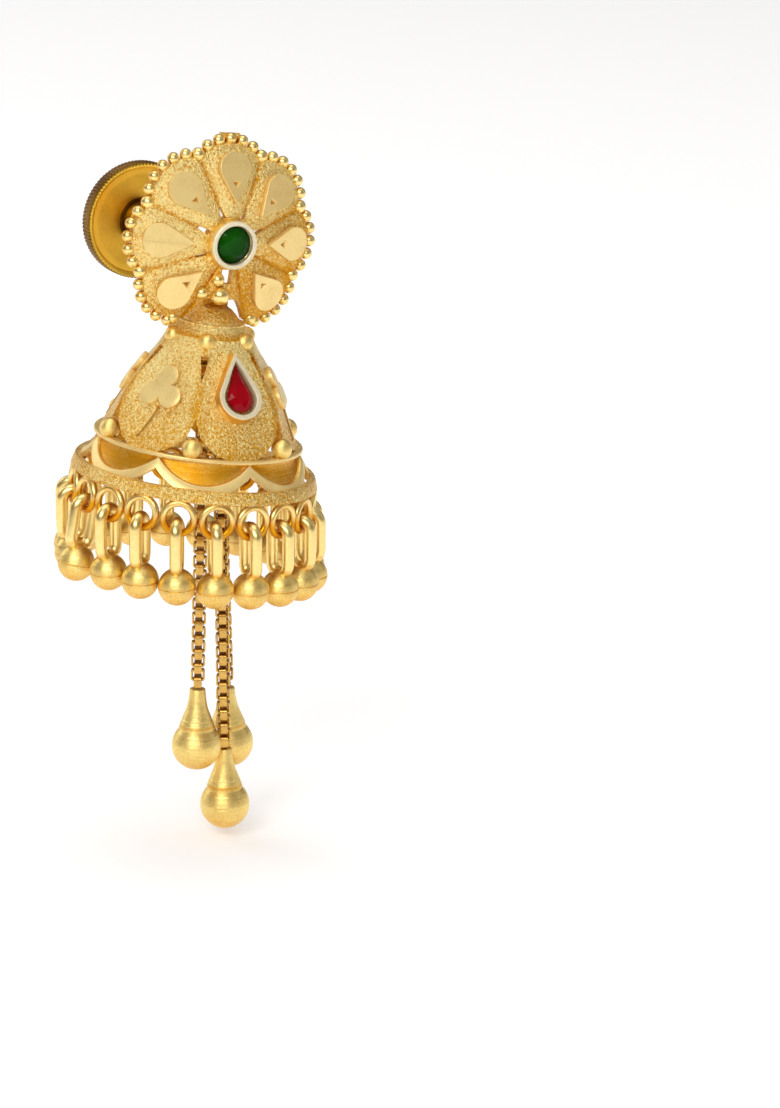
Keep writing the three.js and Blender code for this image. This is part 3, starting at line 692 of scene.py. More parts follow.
def trefoil_outline(lobe: float, spread: float, steps: int = 18) -> list[tuple[float, float]]:
    """Return three lobes about the origin, one of them towards +Y.

    Args:
        lobe: Each lobe's radius.
        spread: From the origin to a lobe's middle.
        steps: Points on each lobe.

    Returns:
        The outline.
    """
    outline = []
    open_angle = math.radians(150) - math.acos(min(1.0, spread * math.sin(math.radians(60)) / lobe))
    for middle in (90, 210, 330):
        centre = Vector((spread, 0)) @ Matrix.Rotation(-math.radians(middle), 2)
        for i in range(steps + 1):
            turn = math.radians(middle) + open_angle * (2 * i / steps - 1)
            outline.append((centre.x + lobe * math.cos(turn), centre.y + lobe * math.sin(turn)))
    return outline


def crease(share: float, width: float) -> float:
    """Return how near the line between two petals a place lies, from its share of the way there."""
    return math.exp(-(((1 - abs(share)) / width) ** 2))


def between(first: Outline, second: Outline, share: float) -> list[tuple[float, float]]:
    """Return the outline that lies at a share of the way from one outline to another."""
    return [(a[0] + (b[0] - a[0]) * share, a[1] + (b[1] - a[1]) * share) for a, b in zip(first, second)]


def raised_patch(
    clay: Clay,
    outline: Outline,
    surface: Patch,
    height: float,
    finish: Finish,
    sink: float = 0.25,
    bevel: float = 0.07,
    dip: Callable[[float, float], float] | None = None,
) -> None:
    """Add a flat ornament that follows the surface under it.

    Args:
        clay: Where it is added.
        outline: Its outline.
        surface: The point over a place of the outline's plane, by its height there.
        height: How far it stands off.
        finish: Its finish.
        sink: How far it reaches into the surface.
        bevel: Its rounded edge.
        dip: What is taken off its height at a place.
    """
    cx = sum(p[0] for p in outline) / len(outline)
    cy = sum(p[1] for p in outline) / len(outline)
    reach = max(math.hypot(x - cx, y - cy) for x, y in outline)
    levels = [(0.0, -sink), (0.0, height - bevel), (bevel * 0.3, height - bevel * 0.3), (bevel, height)]
    levels += [(reach * share, height) for share in (0.25, 0.5, 0.75, 0.93)]
    rows = []
    for inset, level in levels:
        share = 1 - inset / reach
        row = []
        for x, y in outline:
            px, py = cx + (x - cx) * share, cy + (y - cy) * share
            lower = dip(px, py) if dip and level > 0 else 0.0
            row.append(surface(px, py, level - lower))
        rows.append(row)
    clay.loft(rows, finish)


@dataclass
class Lean:
    """How the flower and the bell lean together about the post."""

    angle: float = 7.1
    post_drop: float = 1.2
    rim_to_back: float = 0.35

    def place(self, point: Vector) -> Vector:
        """Put a point of the leaning parts where it belongs.

        Args:
            point: The point, measured from the flower's centre along the leaning axis.

        Returns:
            Its place in the row frame.
        """
        dropped = Vector((point.x, point.y, point.z + self.post_drop))
        turned = Matrix.Rotation(math.radians(self.angle), 3, "Y") @ dropped
        return turned + Vector((0, -self.rim_to_back, 0))


LEAN = Lean()


# Sub-assemblies


@dataclass
class Flower:
    """The flower on the ear post, with its beads, teardrops and collet."""

    petals: int = 8
    tip: float = 6.25
    valley: float = 5.62
    wall: float = 0.5
    rise: float = 1.55
    crown: float = 0.25
    bottom_end: float = 3.8
    cap_bead_shift: float = 5.5
    rim_bead: float = 0.39
    valley_bead: float = 0.45
    beads_per_petal: int = 5
    bead_stand: float = 0.2
    tear_width: float = 2.2
    tear_tip: float = 2.5
    tear_round: float = 4.75
    tear_raise: float = 0.28
    collet_radius: float = 1.55
    collet_wall: float = 0.3
    collet_front: float = 2.3
    socket: float = 0.55
    stone_seat: float = 0.75
    stone_gap: float = 0.08
    stone_table: float = 0.37
    axis_forward: float = 0.18
    crown_fade: float = 0.35
    bottom_squareness: int = 8
    groove_depth: float = 0.035
    groove_width: float = 0.05
    valley_bead_front: float = 0.04
    granules: tuple[tuple[float, float, float], ...] = (
        (-0.62, -2.35, 0.42), (-1.45, -3.3, 0.42), (-0.3, -3.4, 0.6)
    )
    granule_stand: float = 0.35
    faceted: float = 180.0
    slot_angles: tuple[float, ...] = (22.5, 67.5, 112.5, 157.5, 202.5)
    slot: tuple[float, float] = (0.34, 0.75)
    slot_start: float = 0.15
    slot_taper: float = 0.4
    opening: tuple[float, float] = (0.72, 0.95)
    crease_width: float = 0.1
    crease_shade: float = 0.5
    back_shade: float = 0.45
    # Painted shade towards the plate's lower right, which faces away from the light.
    painted_low_right_shade: float = 0.75
    collet_shade: float = 0.35
    collet_shade_width: float = 0.5

    def share(self, angle: float) -> float:
        """Return how far an angle is from its petal's middle.

        Args:
            angle: The angle about the flower's centre.

        Returns:
            -1 to 1, from one edge of the petal to the other.
        """
        turn = 360 / self.petals
        near = round((angle - 90) / turn) * turn + 90
        return (angle - near) / (turn / 2)

    def radius(self, angle: float) -> float:
        """Return the plate's radius at an angle.

        Args:
            angle: The angle about the flower's centre.

        Returns:
            The radius, which is cut back where the lowest petal goes behind the bell's cap.
        """
        share = self.share(angle)
        full = self.valley + (self.tip - self.valley) * (1 - share * share)
        from_bottom = abs((angle + 90 + 540) % 360 - 180) / (180 / self.petals)
        if from_bottom >= 1:
            return full
        return self.bottom_end + (full - self.bottom_end) * from_bottom ** self.bottom_squareness

    def front(self, radius: float, angle: float) -> float:
        """Return how far the plate's front stands before its rim plane.

        Args:
            radius: The distance from the flower's centre.
            angle: The angle about it.

        Returns:
            The distance to the front.
        """
        share = self.share(angle)
        swell = min(1, radius / self.tear_tip) - self.crown_fade * (radius / self.tip) ** 4
        groove = self.groove_depth * crease(share, self.groove_width) * min(1, radius / self.tear_tip)
        return self.rise * (1 - (radius / self.tip) ** 2) + self.crown * swell * (1 - share * share) - groove

    def at(self, radius: float, angle: float, front: float) -> Vector:
        """Return a point by its polar place and its distance to the front."""
        turn = math.radians(angle)
        return Vector((radius * math.cos(turn), -front, radius * math.sin(turn)))

    def over(self, angle: float) -> Patch:
        """Return the surface over a petal, drawn with +Y out along the petal.

        Args:
            angle: The petal's angle.

        Returns:
            The surface.
        """
        turn = math.radians(angle)

        def surface(x: float, y: float, height: float) -> Vector:
            """Return a point over the petal.

            Args:
                x: Its place across the petal.
                y: Its place along the petal.
                height: How far it stands off.

            Returns:
                The point.
            """
            px = y * math.cos(turn) + x * math.sin(turn)
            pz = y * math.sin(turn) - x * math.cos(turn)
            radius = math.hypot(px, pz)
            near = self.front(radius, math.degrees(math.atan2(pz, px)))
            return Vector((px, -near - height, pz))

        return surface

    def flat_on(self, angle: float, radius: float) -> Patch:
        """Return the plane that touches a petal, drawn with +Y out along it.

        Args:
            angle: The petal's angle.
            radius: Where the plane touches it.

        Returns:
            The plane.
        """
        step = 0.4
        here = self.at(radius, angle, self.front(radius, angle))
        out = (self.at(radius + step, angle, self.front(radius + step, angle)) - here).normalized()
        side = Vector((math.sin(math.radians(angle)), 0, -math.cos(math.radians(angle))))
        normal = side.cross(out).normalized()
        return lambda x, y, height: here + side * x + out * (y - radius) + normal * height

    def build(self) -> None:
        """Build the flower's pieces and dress them."""
        ornaments, beads = Clay(), Clay()
        self._teardrops(ornaments)
        self._beads(beads)
        lean = LEAN.place
        for piece in (
            self._plate().object("flower_plate", self._painted_shade, cutters=self._piercing(), place=lean),
            ornaments.object(
                "flower_teardrops", self._tear_painted_shade, cutters=self._notches(), place=lean, crease=25
            ),
            beads.object("flower_beads", self._bead_painted_shade, place=lean),
            self._collet().object("flower_collet", place=lean),
        ):
            mount_piece(piece, ["flower_top"])
        self._stone()

    def _painted_shade(self, point: Vector) -> float:
        """Return how much shade is painted on a point of the plate.

        Args:
            point: The point.

        Returns:
            0 to 1: painted shade between two petals, round the collet, on the back, and towards the lower right,
                    away from the light.
        """
        radius = math.hypot(point.x, point.z)
        angle = math.degrees(math.atan2(point.z, point.x))
        near = crease(self.share(angle), self.crease_width)
        behind = self.back_shade if -point.y < self.front(radius, angle) - self.wall * 0.5 else 0.0
        # Painted shade: darker towards the lower right of the plate, away from the light.
        low_right = (point.x - 1.4 * point.z) / (self.tip * 1.5) + 0.15
        painted_low_right_shade = self.painted_low_right_shade * min(1.0, max(0.0, low_right))
        by_collet = max(0.0, 1 - (radius - self.collet_radius) / self.collet_shade_width)
        return min(1.0, near * self.crease_shade + behind + painted_low_right_shade + self.collet_shade * by_collet)

    def _bead_painted_shade(self, point: Vector) -> float:
        """Return the shade painted on a rim bead: more behind the rim plane."""
        return 0.55 if -point.y < 0.1 and math.hypot(point.x, point.z) > self.valley - 0.3 else 0.0

    def _tear_painted_shade(self, point: Vector) -> float:
        """Return how much shade is painted on a point of a teardrop.

        Args:
            point: The point.

        Returns:
            1, painted shade, near its foot on the plate, else 0.
        """
        radius = math.hypot(point.x, point.z)
        stand = -point.y - self.front(radius, math.degrees(math.atan2(point.z, point.x)))
        return 1.0 if stand < self.tear_raise * 0.4 else 0.0

    def _plate(self) -> Clay:
        """Build the plate with its rounded rim, tongue and lug.

        Returns:
            The surfaces.
        """
        clay = Clay()
        per_petal, stations, back_stations = 28, 26, 6
        hole = self.collet_radius - self.collet_wall - self.stone_gap
        edge = 0.1
        rows = []
        for i in range(self.petals * per_petal):
            angle = 90 + 360 * i / (self.petals * per_petal)
            rim = self.radius(angle)
            radii = [hole + (rim - edge - hole) * s / stations for s in range(stations + 1)]
            row = [self.at(r, angle, self.front(r, angle)) for r in radii]
            for turn in (30, 60, 90):
                r = rim - edge + edge * math.sin(math.radians(turn))
                row.append(self.at(r, angle, self.front(r, angle) - edge * (1 - math.cos(math.radians(turn)))))
            for s in range(back_stations + 1):
                r = rim - (rim - hole) * s / back_stations
                row.append(self.at(r, angle, self.front(r, angle) - self.wall))
            rows.append(row)
        clay.loft(rows, Finish.SANDED, loop=True)
        self._fittings(clay)
        return clay

    def _fittings(self, clay: Clay) -> None:
        """Add the tongue that seats in the bell's cap, the bridge that carries it and the lug.

        Args:
            clay: Where they are added.
        """
        top, end, width, bridge = self.bottom_end - 0.8, 5.2, 1.8, 0.7
        near = self.front(self.bottom_end, 270) - self.wall / 2
        back = self.wall / 2 - self.axis_forward
        lug_width, lug_lap, lug_stand, lug_wall = 1.4, 0.9, 0.53, 0.3
        lug_back = self.wall - lug_wall * 0.7
        blocks = [
            ((width, self.wall, end - top), (0, -self.axis_forward, -(end + top) / 2)),
            ((width, near + back, bridge), (0, (back - near) / 2, -top - bridge / 2)),
            ((lug_width, lug_wall, lug_lap + lug_stand), (0, lug_back, self.tip + (lug_stand - lug_lap) / 2)),
        ]
        for size, middle in blocks:
            rounded_block(clay, Vector(size), Vector(middle), 0.06, Finish.SANDED)

    def _piercing(self) -> Clay:
        """Build what is cut through the plate: the slots between petals and the opening under the stone.

        Returns:
            The surfaces.
        """
        cutters = Clay()
        start = self.collet_radius + self.slot_start
        cuts = [(angle, *self.slot, self.slot_taper) for angle in self.slot_angles] + [(270, *self.opening, 1.0)]
        for angle, width, length, taper in cuts:
            surface = self.over(angle)
            corners = [(-width / 2, 0), (width / 2, 0), (width / 2 * taper, length), (-width / 2 * taper, length)]
            rows = [[surface(x, start + y, level) for x, y in corners] for level in (-2.0, 1.2)]
            cutters.loft(rows, Finish.SANDED)
        return cutters

    def _teardrops(self, clay: Clay) -> None:
        """Add the raised teardrops, one of them with a long facet.

        Args:
            clay: Where they are added.
        """
        length = self.tear_round + self.tear_width / 2 - self.tear_tip
        outline = [(x, y + self.tear_tip) for x, y in tear_outline(self.tear_width, length)]
        for angle in self.tear_angles():
            facet = (lambda x, y: max(0.0, (x + 0.1) * 0.24)) if angle == self.faceted else None
            plane = self.flat_on(angle, (self.tear_tip + self.tear_round) / 2)
            raised_patch(clay, outline, plane, self.tear_raise, Finish.PALE, sink=0.35, bevel=0.05, dip=facet)

    def _notches(self) -> Clay:
        """Build the small three-sided marks cut into the teardrops that have no facet.

        Returns:
            The surfaces.
        """
        cutters = Clay()
        size, depth, stand, squash = 0.36, 0.2, 0.12, 0.9
        seat = (self.tear_tip + self.tear_round) / 2
        middle = seat + 0.15
        grow = (depth + stand) / depth
        for angle in self.tear_angles():
            if angle == self.faceted:
                continue
            surface = self.flat_on(angle, seat)
            turns = [math.radians(t) for t in (30, 150, 270)]
            corners = [(size * grow * math.cos(t), middle + size * grow * squash * math.sin(t)) for t in turns]
            points = [surface(x, y, self.tear_raise + stand) for x, y in corners]
            points.append(surface(0, middle, self.tear_raise - depth))
            cutters.add(points, [(0, 1, 2), (0, 1, 3), (1, 2, 3), (2, 0, 3)], Finish.POLISHED)
        return cutters

    def tear_angles(self) -> list[float]:
        """Return the angles of the petals that carry a teardrop: all but the lowest."""
        angles = [(90 + petal * 360 / self.petals) for petal in range(self.petals)]
        return [angle for angle in angles if angle % 360 != 270]

    def _beads(self, clay: Clay) -> None:
        """Add the rim beads, the beads between the petals and the granules.

        Args:
            clay: Where they are added.
        """
        turn = 360 / self.petals
        for petal in range(self.petals):
            middle = 90 + petal * turn
            valley = (middle + turn / 2) % 360
            beside_cap = abs(valley - 270) < turn
            shift = math.copysign(self.cap_bead_shift, valley - 270) if beside_cap else 0.0
            at = self.at(self.valley + self.bead_stand, valley + shift, self.valley_bead_front)
            clay.ball(self.valley_bead, at, Finish.POLISHED)
            if middle % 360 == 270:
                continue
            for i in range(self.beads_per_petal):
                angle = middle + turn * ((i + 1) / (self.beads_per_petal + 1) - 0.5)
                rim = self.radius(angle)
                at = self.at(rim + self.bead_stand, angle, self.front(rim, angle) - self.wall / 2)
                clay.ball(self.rim_bead, at, Finish.POLISHED, 18)
        for x, z, radius in self.granules:
            front = self.front(math.hypot(x, z), math.degrees(math.atan2(z, x)))
            clay.ball(radius, Vector((x, -front - radius * self.granule_stand, z)), Finish.POLISHED)

    def _collet(self) -> Clay:
        """Build the turned collet with its white front edge.

        Returns:
            The surfaces.
        """
        clay = Clay()
        back = self.front(self.collet_radius, 90) - self.wall
        outer, inner = self.collet_radius, self.collet_radius - self.collet_wall
        front, soft = self.collet_front, 0.06
        profile = [
            (inner, front - soft), (inner + soft, front), (outer - soft, front), (outer, front - soft),
            (outer + 0.02, front - 0.2), (outer + 0.08, back), (self.socket, back),
            (self.socket, front - self.stone_seat), (inner, front - 0.35),
        ]
        bands = {k: Finish.WHITE_RIM for k in (8, 0, 1, 2, 3)}
        clay.lathe(profile, 64, Finish.POLISHED, lambda p: Vector((p.x, -p.z, p.y)), bands)
        return clay

    def _stone(self) -> None:
        """Build the green stone with a table, stars, kites and a pointed back."""
        radius = self.collet_radius - self.collet_wall - self.stone_gap
        girdle = self.collet_front - 0.25
        circle = [(math.cos(2 * math.pi * i / 16), math.sin(2 * math.pi * i / 16)) for i in range(16)]
        points = cut_stone([(radius * x, radius * y) for x, y in circle], (0, 0), self.stone_table, 0.5)
        # Painted light and shade: the stone is lightest a little up and to the left, towards the light, and
        # darkens towards its edge.
        stone = hull_piece("green_stone", [Vector((p.x, -girdle - p.z, p.y)) for p in points], Finish.GREEN,
                           lambda p: min(1.0, (math.hypot(p.x + 0.25, p.z - 0.2) / radius) ** 2))
        mount_piece(stone, ["centre_stone"])


def rounded_block(clay: Clay, size: Vector, middle: Vector, edge: float, finish: Finish) -> None:
    """Add a block whose upright edges are rounded.

    Args:
        clay: Where it is added.
        size: Its size.
        middle: Its centre.
        edge: The radius of its edges.
        finish: Its finish.
    """
    outline = []
    for corner in range(4):
        cx = (size.x / 2 - edge) * (1 if corner in (0, 3) else -1)
        cy = (size.y / 2 - edge) * (1 if corner in (0, 1) else -1)
        for step in range(4):
            turn = math.radians(corner * 90 + step * 30)
            outline.append((cx + edge * math.cos(turn), cy + edge * math.sin(turn)))
    rows = [[middle + Vector((x, y, z)) for x, y in outline] for z in (-size.z / 2, size.z / 2)]
    clay.loft(rows, finish)


def cut_stone(girdle: Outline, centre: tuple[float, float], crown: float, depth: float) -> list[Vector]:
    """Return the corners of a cut stone that looks along +Z.

    Args:
        girdle: Its outline.
        centre: The middle of its table.
        crown: The table's height over the girdle.
        depth: How deep its back is.

    Returns:
        The corners, whose hull is the stone.
    """
    cx, cy = centre
    count = len(girdle)
    points = [Vector((x, y, z)) for z in (0, -GIRDLE_EDGE) for x, y in girdle]
    for share, height, offset in ((0.8, 0.55, 0), (0.56, 1.0, 1)):
        for i in range(0, count, 2):
            x, y = girdle[(i + offset) % count]
            points.append(Vector((cx + (x - cx) * share, cy + (y - cy) * share, crown * height)))
    points.append(Vector((cx, cy, -depth)))
    return points


def hull_piece(name: str, points: Sequence[Vector], finish: Finish, painted_shade: Shade) -> bpy.types.Object:
    """Make a faceted piece from the hull of its corners.

    Args:
        name: The piece's name.
        points: Its corners, in the leaning parts' frame.
        finish: Its finish.
        painted_shade: How much shade is painted on a point, from 0 to 1.

    Returns:
        The piece.
    """
    shape = bmesh.new()
    for point in points:
        shape.verts.new(point)
    found = bmesh.ops.convex_hull(shape, input=shape.verts)
    spare = {v for v in found["geom_interior"] + found["geom_unused"] if isinstance(v, bmesh.types.BMVert)}
    bmesh.ops.delete(shape, geom=list(spare), context="VERTS")
    bmesh.ops.dissolve_limit(shape, angle_limit=0.02, verts=shape.verts, edges=shape.edges)
    shape.verts.ensure_lookup_table()
    clay = Clay()
    shape.verts.index_update()
    clay.add([v.co.copy() for v in shape.verts], [tuple(v.index for v in f.verts) for f in shape.faces], finish)
    shape.free()
    return clay.object(name, painted_shade, place=LEAN.place, crease=4.0)


@dataclass
class Bell:
    """The bell under the flower, down to the rings that carry the drops."""

    forward: float = 0.18
    cap_top: float = 4.15
    neck: float = 6.05
    neck_radius: float = 2.72
    cap_step: float = 0.12
    wall: float = 0.45
    petals: int = 6
    foot: float = 12.9
    foot_radius: float = 6.4
    ridge: float = 0.65
    groove_depth: float = 0.07
    groove_width: float = 0.04
    foot_gap: float = 1.9
    foot_gap_curve: float = 2.4
    foot_notch: float = 0.5
    notch_start: float = 0.86
    notch_width: float = 0.14
    neck_ball: float = 0.57
    neck_ball_inset: float = 0.12
    neck_ball_low: float = 0.2
    foot_ball: float = 0.67
    foot_ball_inset: float = 0.05
    foot_ball_rise: float = 0.5
    slit_top: float = 7.0
    slit_length: float = 1.75
    slit_width: float = 0.56
    trefoil_lobe: float = 0.72
    trefoil_spread: float = 0.81
    trefoil_height: float = 9.34
    trefoil_raise: float = 0.32
    pear_width: float = 1.8
    pear_length: float = 3.2
    pear_tip: float = 7.45
    pear_stand: float = 0.75
    pear_flare: float = 0.17
    stone_angles: tuple[int, ...] = (0, 180)
    collet_wall: float = 0.3
    gap: float = 0.08
    stone_seat: float = 0.75
    stone_drop: float = 1.7
    stone_crown: float = 0.3
    stone_depth: float = 0.4
    wall_scale: float = 0.9
    rail_radius: float = 6.75
    rail_wall: float = 0.75
    rail_thick: float = 0.26
    scallops: int = 7
    scallop_phase: float = 3.6
    skirt_peak: float = 13.85
    skirt_foot: float = 15.2
    skirt_radius: float = 7.58
    skirt_wall: float = 0.5
    strip: float = 0.68
    channel: float = 0.26
    hoop_top: float = 14.72
    hoop_height: float = 0.8
    hoop_radius: float = 7.98
    hoop_flare: float = 0.2
    hoop_wall: float = 0.42
    rings: int = 20
    ring_phase: float = 4.0
    ring_circle: float = 7.74
    ring_wire: float = 0.23
    ring_mean: float = 0.98
    hanger: float = 6.15
    hanger_wire: float = 0.25
    crease_width: float = 0.12
    crease_shade: float = 0.6
    inside_shade: float = 0.8
    foot_shade: float = 0.8
    collet_shade: float = 0.55
    cap_shade: float = 0.45
    # Negative: the cap's ledge gets a painted lighter tone, as if more light fell on it.
    ledge_shade: float = -0.15
    hoop_shade: float = 0.35
    channel_shade: float = 0.65

    PROFILE = ((0, 0), (0.17, 0.15), (0.36, 0.37), (0.56, 0.6), (0.76, 0.78), (1, 1))

    def at(self, radius: float, angle: float, height: float) -> Vector:
        """Return a point by its radius, its angle from the front and its depth under the flower."""
        turn = math.radians(angle)
        return Vector((radius * math.sin(turn), -radius * math.cos(turn) - self.forward, -height))

    def reach(self, height: float) -> float:
        """Return the wall's radius at a depth, along the profile.

        Args:
            height: The depth under the flower.

        Returns:
            The radius, without the petals' bulges.
        """
        share = (height - self.neck) / (self.foot - self.neck)
        knots = self.PROFILE
        row = next((i for i in range(len(knots) - 2) if share <= knots[i + 1][0]), len(knots) - 2)
        (low, a), (high, b) = knots[row], knots[row + 1]
        along = (share - low) / (high - low)
        return self.neck_radius + (self.foot_radius - self.neck_radius) * (a + (b - a) * along)

    def share(self, angle: float) -> float:
        """Return how far an angle is from its petal's middle, -1 to 1."""
        turn = 360 / self.petals
        return (angle - round(angle / turn) * turn) / (turn / 2)

    def surface(self, angle: float, height: float) -> float:
        """Return the outer radius of the petalled wall.

        Args:
            angle: The angle from the front.
            height: The depth under the flower.

        Returns:
            The radius, least along the lines between the petals' bulges.
        """
        share = self.share(angle)
        along = (height - self.neck) / (self.foot - self.neck)
        rise = self.ridge * math.sin(math.pi * min(1.0, max(0.0, along)))
        groove = self.groove_depth * crease(share, self.groove_width)
        smooth = (self.reach(height - 0.5) + self.reach(height) + self.reach(height + 0.5)) / 3
        return smooth + rise * share * share - groove

    def slope(self, angle: float, height: float) -> float:
        """Return how much the wall's radius grows with its depth."""
        step = 0.2
        return (self.surface(angle, height + step) - self.surface(angle, height - step)) / (2 * step)

    def stand(self, point: Vector) -> float:
        """Return how far a point stands off the petalled wall."""
        angle = math.degrees(math.atan2(point.x, -(point.y + self.forward)))
        return math.hypot(point.x, point.y + self.forward) - self.surface(angle, -point.z)

    def over(self, angle: float, height: float) -> Patch:
        """Return the surface over a petal, drawn with +Y up and its origin at a depth.

        Args:
            angle: The petal's angle from the front.
            height: The origin's depth under the flower.

        Returns:
            The surface.
        """

        def surface(x: float, y: float, stand: float) -> Vector:
            """Return a point over the wall.

            Args:
                x: Its place across the petal.
                y: Its place up the petal.
                stand: How far it stands off.

            Returns:
                The point.
            """
            depth = height - y * self.wall_scale
            turn = angle + math.degrees(x / self.surface(angle, depth))
            slope = self.slope(turn, depth)
            tip = math.hypot(1, slope)
            return self.at(self.surface(turn, depth) + stand / tip, turn, depth - stand * slope / tip)

        return surface

    def build(self) -> None:
        """Build the bell's pieces and dress them."""
        dome = self._dome().object("bell_dome", self._dome_painted_shade, cutters=self._slits(), place=LEAN.place)
        mount_piece(dome, ["bell"])
        for name, clay, painted_shade in (
            ("bell_cap", self._cap(), self._skirt_painted_shade),
            ("bell_balls", self._balls(), None),
            ("bell_trefoils", self._trefoils(), self._trefoil_painted_shade),
            ("bell_collets", self._collets(), self._collet_painted_shade),
            ("bell_rail", self._rail(), None),
            ("bell_skirt", self._skirt(), self._skirt_painted_shade),
            ("bell_hoop", self._hoop(), self._skirt_painted_shade),
            ("bell_rings", self._rings(), self._skirt_painted_shade),
        ):
            mount_piece(clay.object(name, painted_shade, lambda p: p.z, place=LEAN.place), ["bell"])
        self._stones()

    def _dome_painted_shade(self, point: Vector) -> float:
        """Return how much shade is painted on a point of the dome.

        Args:
            point: The point.

        Returns:
            0 to 1: painted shade between two petals, on the inside, and darker towards the petals' feet.
        """
        angle = math.degrees(math.atan2(point.x, -(point.y + self.forward)))
        near = crease(self.share(angle), self.crease_width)
        inside = self.inside_shade if self.stand(point) < -self.wall * 0.6 else 0.0
        # Painted shade: darker towards the petals' feet.
        low = max(0.0, (-point.z - self.neck) / (self.foot - self.neck) - 0.35)
        return min(1.0, near * self.crease_shade + inside + low * self.foot_shade)

    def _collet_painted_shade(self, point: Vector) -> float:
        """Return the shade painted on a point of a pear collet that lies under its white rim."""
        return self.collet_shade if self.stand(point) < self.pear_stand * 0.85 else 0.0

    def _trefoil_painted_shade(self, point: Vector) -> float:
        """Return the shade painted on a point of a trefoil or its stem that lies near the petal under it."""
        return 1.0 if self.stand(point) < self.trefoil_raise * 0.4 else 0.0

    def _skirt_painted_shade(self, point: Vector) -> float:
        """Return how much shade is painted on a point of the cap, the skirt, the hoop or a ring.

        Args:
            point: The point.

        Returns:
            0 to 1: painted shade at the cap's top under the flower, on the hoop, and in the skirt's channel and
                    inside; below 0, a painted lighter tone on the cap's ledge.
        """
        depth = -point.z
        if depth < self.neck:
            # Painted shade at the cap's top, where the flower overhangs it, and a painted lighter tone on the
            # ledge below.
            return self.cap_shade if depth < self.cap_top + 1.0 else self.ledge_shade
        radius = math.hypot(point.x, point.y + self.forward)
        outer = self.skirt_line(depth)
        on_hoop = self.hoop_shade if radius > outer + 0.1 else 0.0
        return min(1.0, max(on_hoop, (outer - 0.04 - radius) / (self.channel * 0.8) * self.channel_shade))

    def skirt_line(self, depth: float) -> float:
        """Return the skirt's outer radius at a depth.

        Args:
            depth: The depth under the flower.

        Returns:
            The radius.
        """
        top = self.foot + self.rail_thick / 2
        start = self.rail_radius - 0.1
        return start + (self.skirt_radius - start) * (depth - top) / (self.skirt_foot - top)

    def _dome(self) -> Clay:
        """Build the six-petalled wall with gaps at its foot.

        Returns:
            The surfaces.
        """
        clay = Clay()
        per_petal, stations, back_step = 44, 34, 3
        rows = []
        for i in range(self.petals * per_petal):
            angle = 360 * i / (self.petals * per_petal)
            share = abs(self.share(angle))
            foot = self.foot + self.rail_thick / 2 - self.foot_gap * share ** self.foot_gap_curve
            foot -= self.foot_notch * max(0.0, (share - self.notch_start) / self.notch_width)
            front = [self.neck + (foot - self.neck) * s / stations for s in range(stations + 1)]
            back = reversed(front[::back_step] + [foot])
            row = [self.at(self.surface(angle, h), angle, h) for h in front]
            row += [self.at(self.surface(angle, h) - self.wall, angle, h) for h in back]
            rows.append(row)
        clay.loft(rows, Finish.SANDED, loop=True)
        return clay

    def _slits(self) -> Clay:
        """Build the wedges cut between the petals under the neck balls.

        Returns:
            The surfaces.
        """
        cutters = Clay()
        half = self.slit_width / 2
        for i in range(self.petals):
            surface = self.over(30 + 360 * i / self.petals, self.slit_top)
            corners = [(-half, 0.0), (0.0, -self.slit_length), (half, 0.0)]
            cutters.loft([[surface(x, y, level) for x, y in corners] for level in (-1.2, 1.2)], Finish.SANDED)
        return cutters

    def turned(
        self, profile: Outline, sides: int, clay: Clay, finish: Finish, bands: dict[int, Finish] | None = None
    ) -> None:
        """Add a form turned about the bell's axis.

        Args:
            profile: Its closed outline of radii and depths.
            sides: How many steps a turn has.
            clay: Where it is added.
            finish: Its finish.
            bands: Other finishes, by the place of a face along the profile.
        """
        outline = [(r, -h) for r, h in profile]
        clay.lathe(outline, sides, finish, lambda p: Vector((p.x, p.y - self.forward, p.z)), bands)

    def _cap(self) -> Clay:
        """Build the domed cap with its ledge, and the bar that carries the chains.

        Returns:
            The surfaces.
        """
        clay = Clay()
        tip, span, bulge = 0.3, 1.55, 2.2
        ledge = self.cap_top + 1.2
        step = ledge - self.cap_step
        low = ledge + 0.2
        profile = [(tip, self.cap_top)]
        profile += [(tip + span * s, self.cap_top + (step - self.cap_top) * s ** bulge)
                    for s in (0.2, 0.4, 0.6, 0.8, 0.92, 1)]
        profile += [
            (2.1, step), (2.14, step + 0.05), (2.12, ledge), (2.3, low), (self.neck_radius, self.neck),
            (self.neck_radius - self.wall, self.neck + 0.2), (2.15 - self.wall, low),
            (tip, self.cap_top + self.wall + 0.1),
        ]
        self.turned(profile, 72, clay, Finish.SANDED)
        half = self.neck_radius - self.wall / 2
        turns = [math.radians(20 * i) for i in range(18)]
        bar = [(self.hanger_wire * math.cos(t), self.hanger_wire * math.sin(t)) for t in turns]
        rows = [[Vector((x, y - self.forward, z - self.hanger)) for y, z in bar] for x in (-half, half)]
        clay.loft(rows, Finish.SATIN)
        return clay

    def _balls(self) -> Clay:
        """Build the balls at the neck and at the petals' feet.

        Returns:
            The surfaces.
        """
        clay = Clay()
        for i in range(self.petals):
            angle = 30 + 360 * i / self.petals
            high = self.at(self.neck_radius - self.neck_ball_inset, angle, self.neck + self.neck_ball_low)
            low = self.at(self.foot_radius - self.foot_ball_inset, angle, self.foot - self.foot_ball_rise)
            clay.ball(self.neck_ball, high, Finish.SATIN, 28)
            clay.ball(self.foot_ball, low, Finish.SATIN, 32)
        return clay

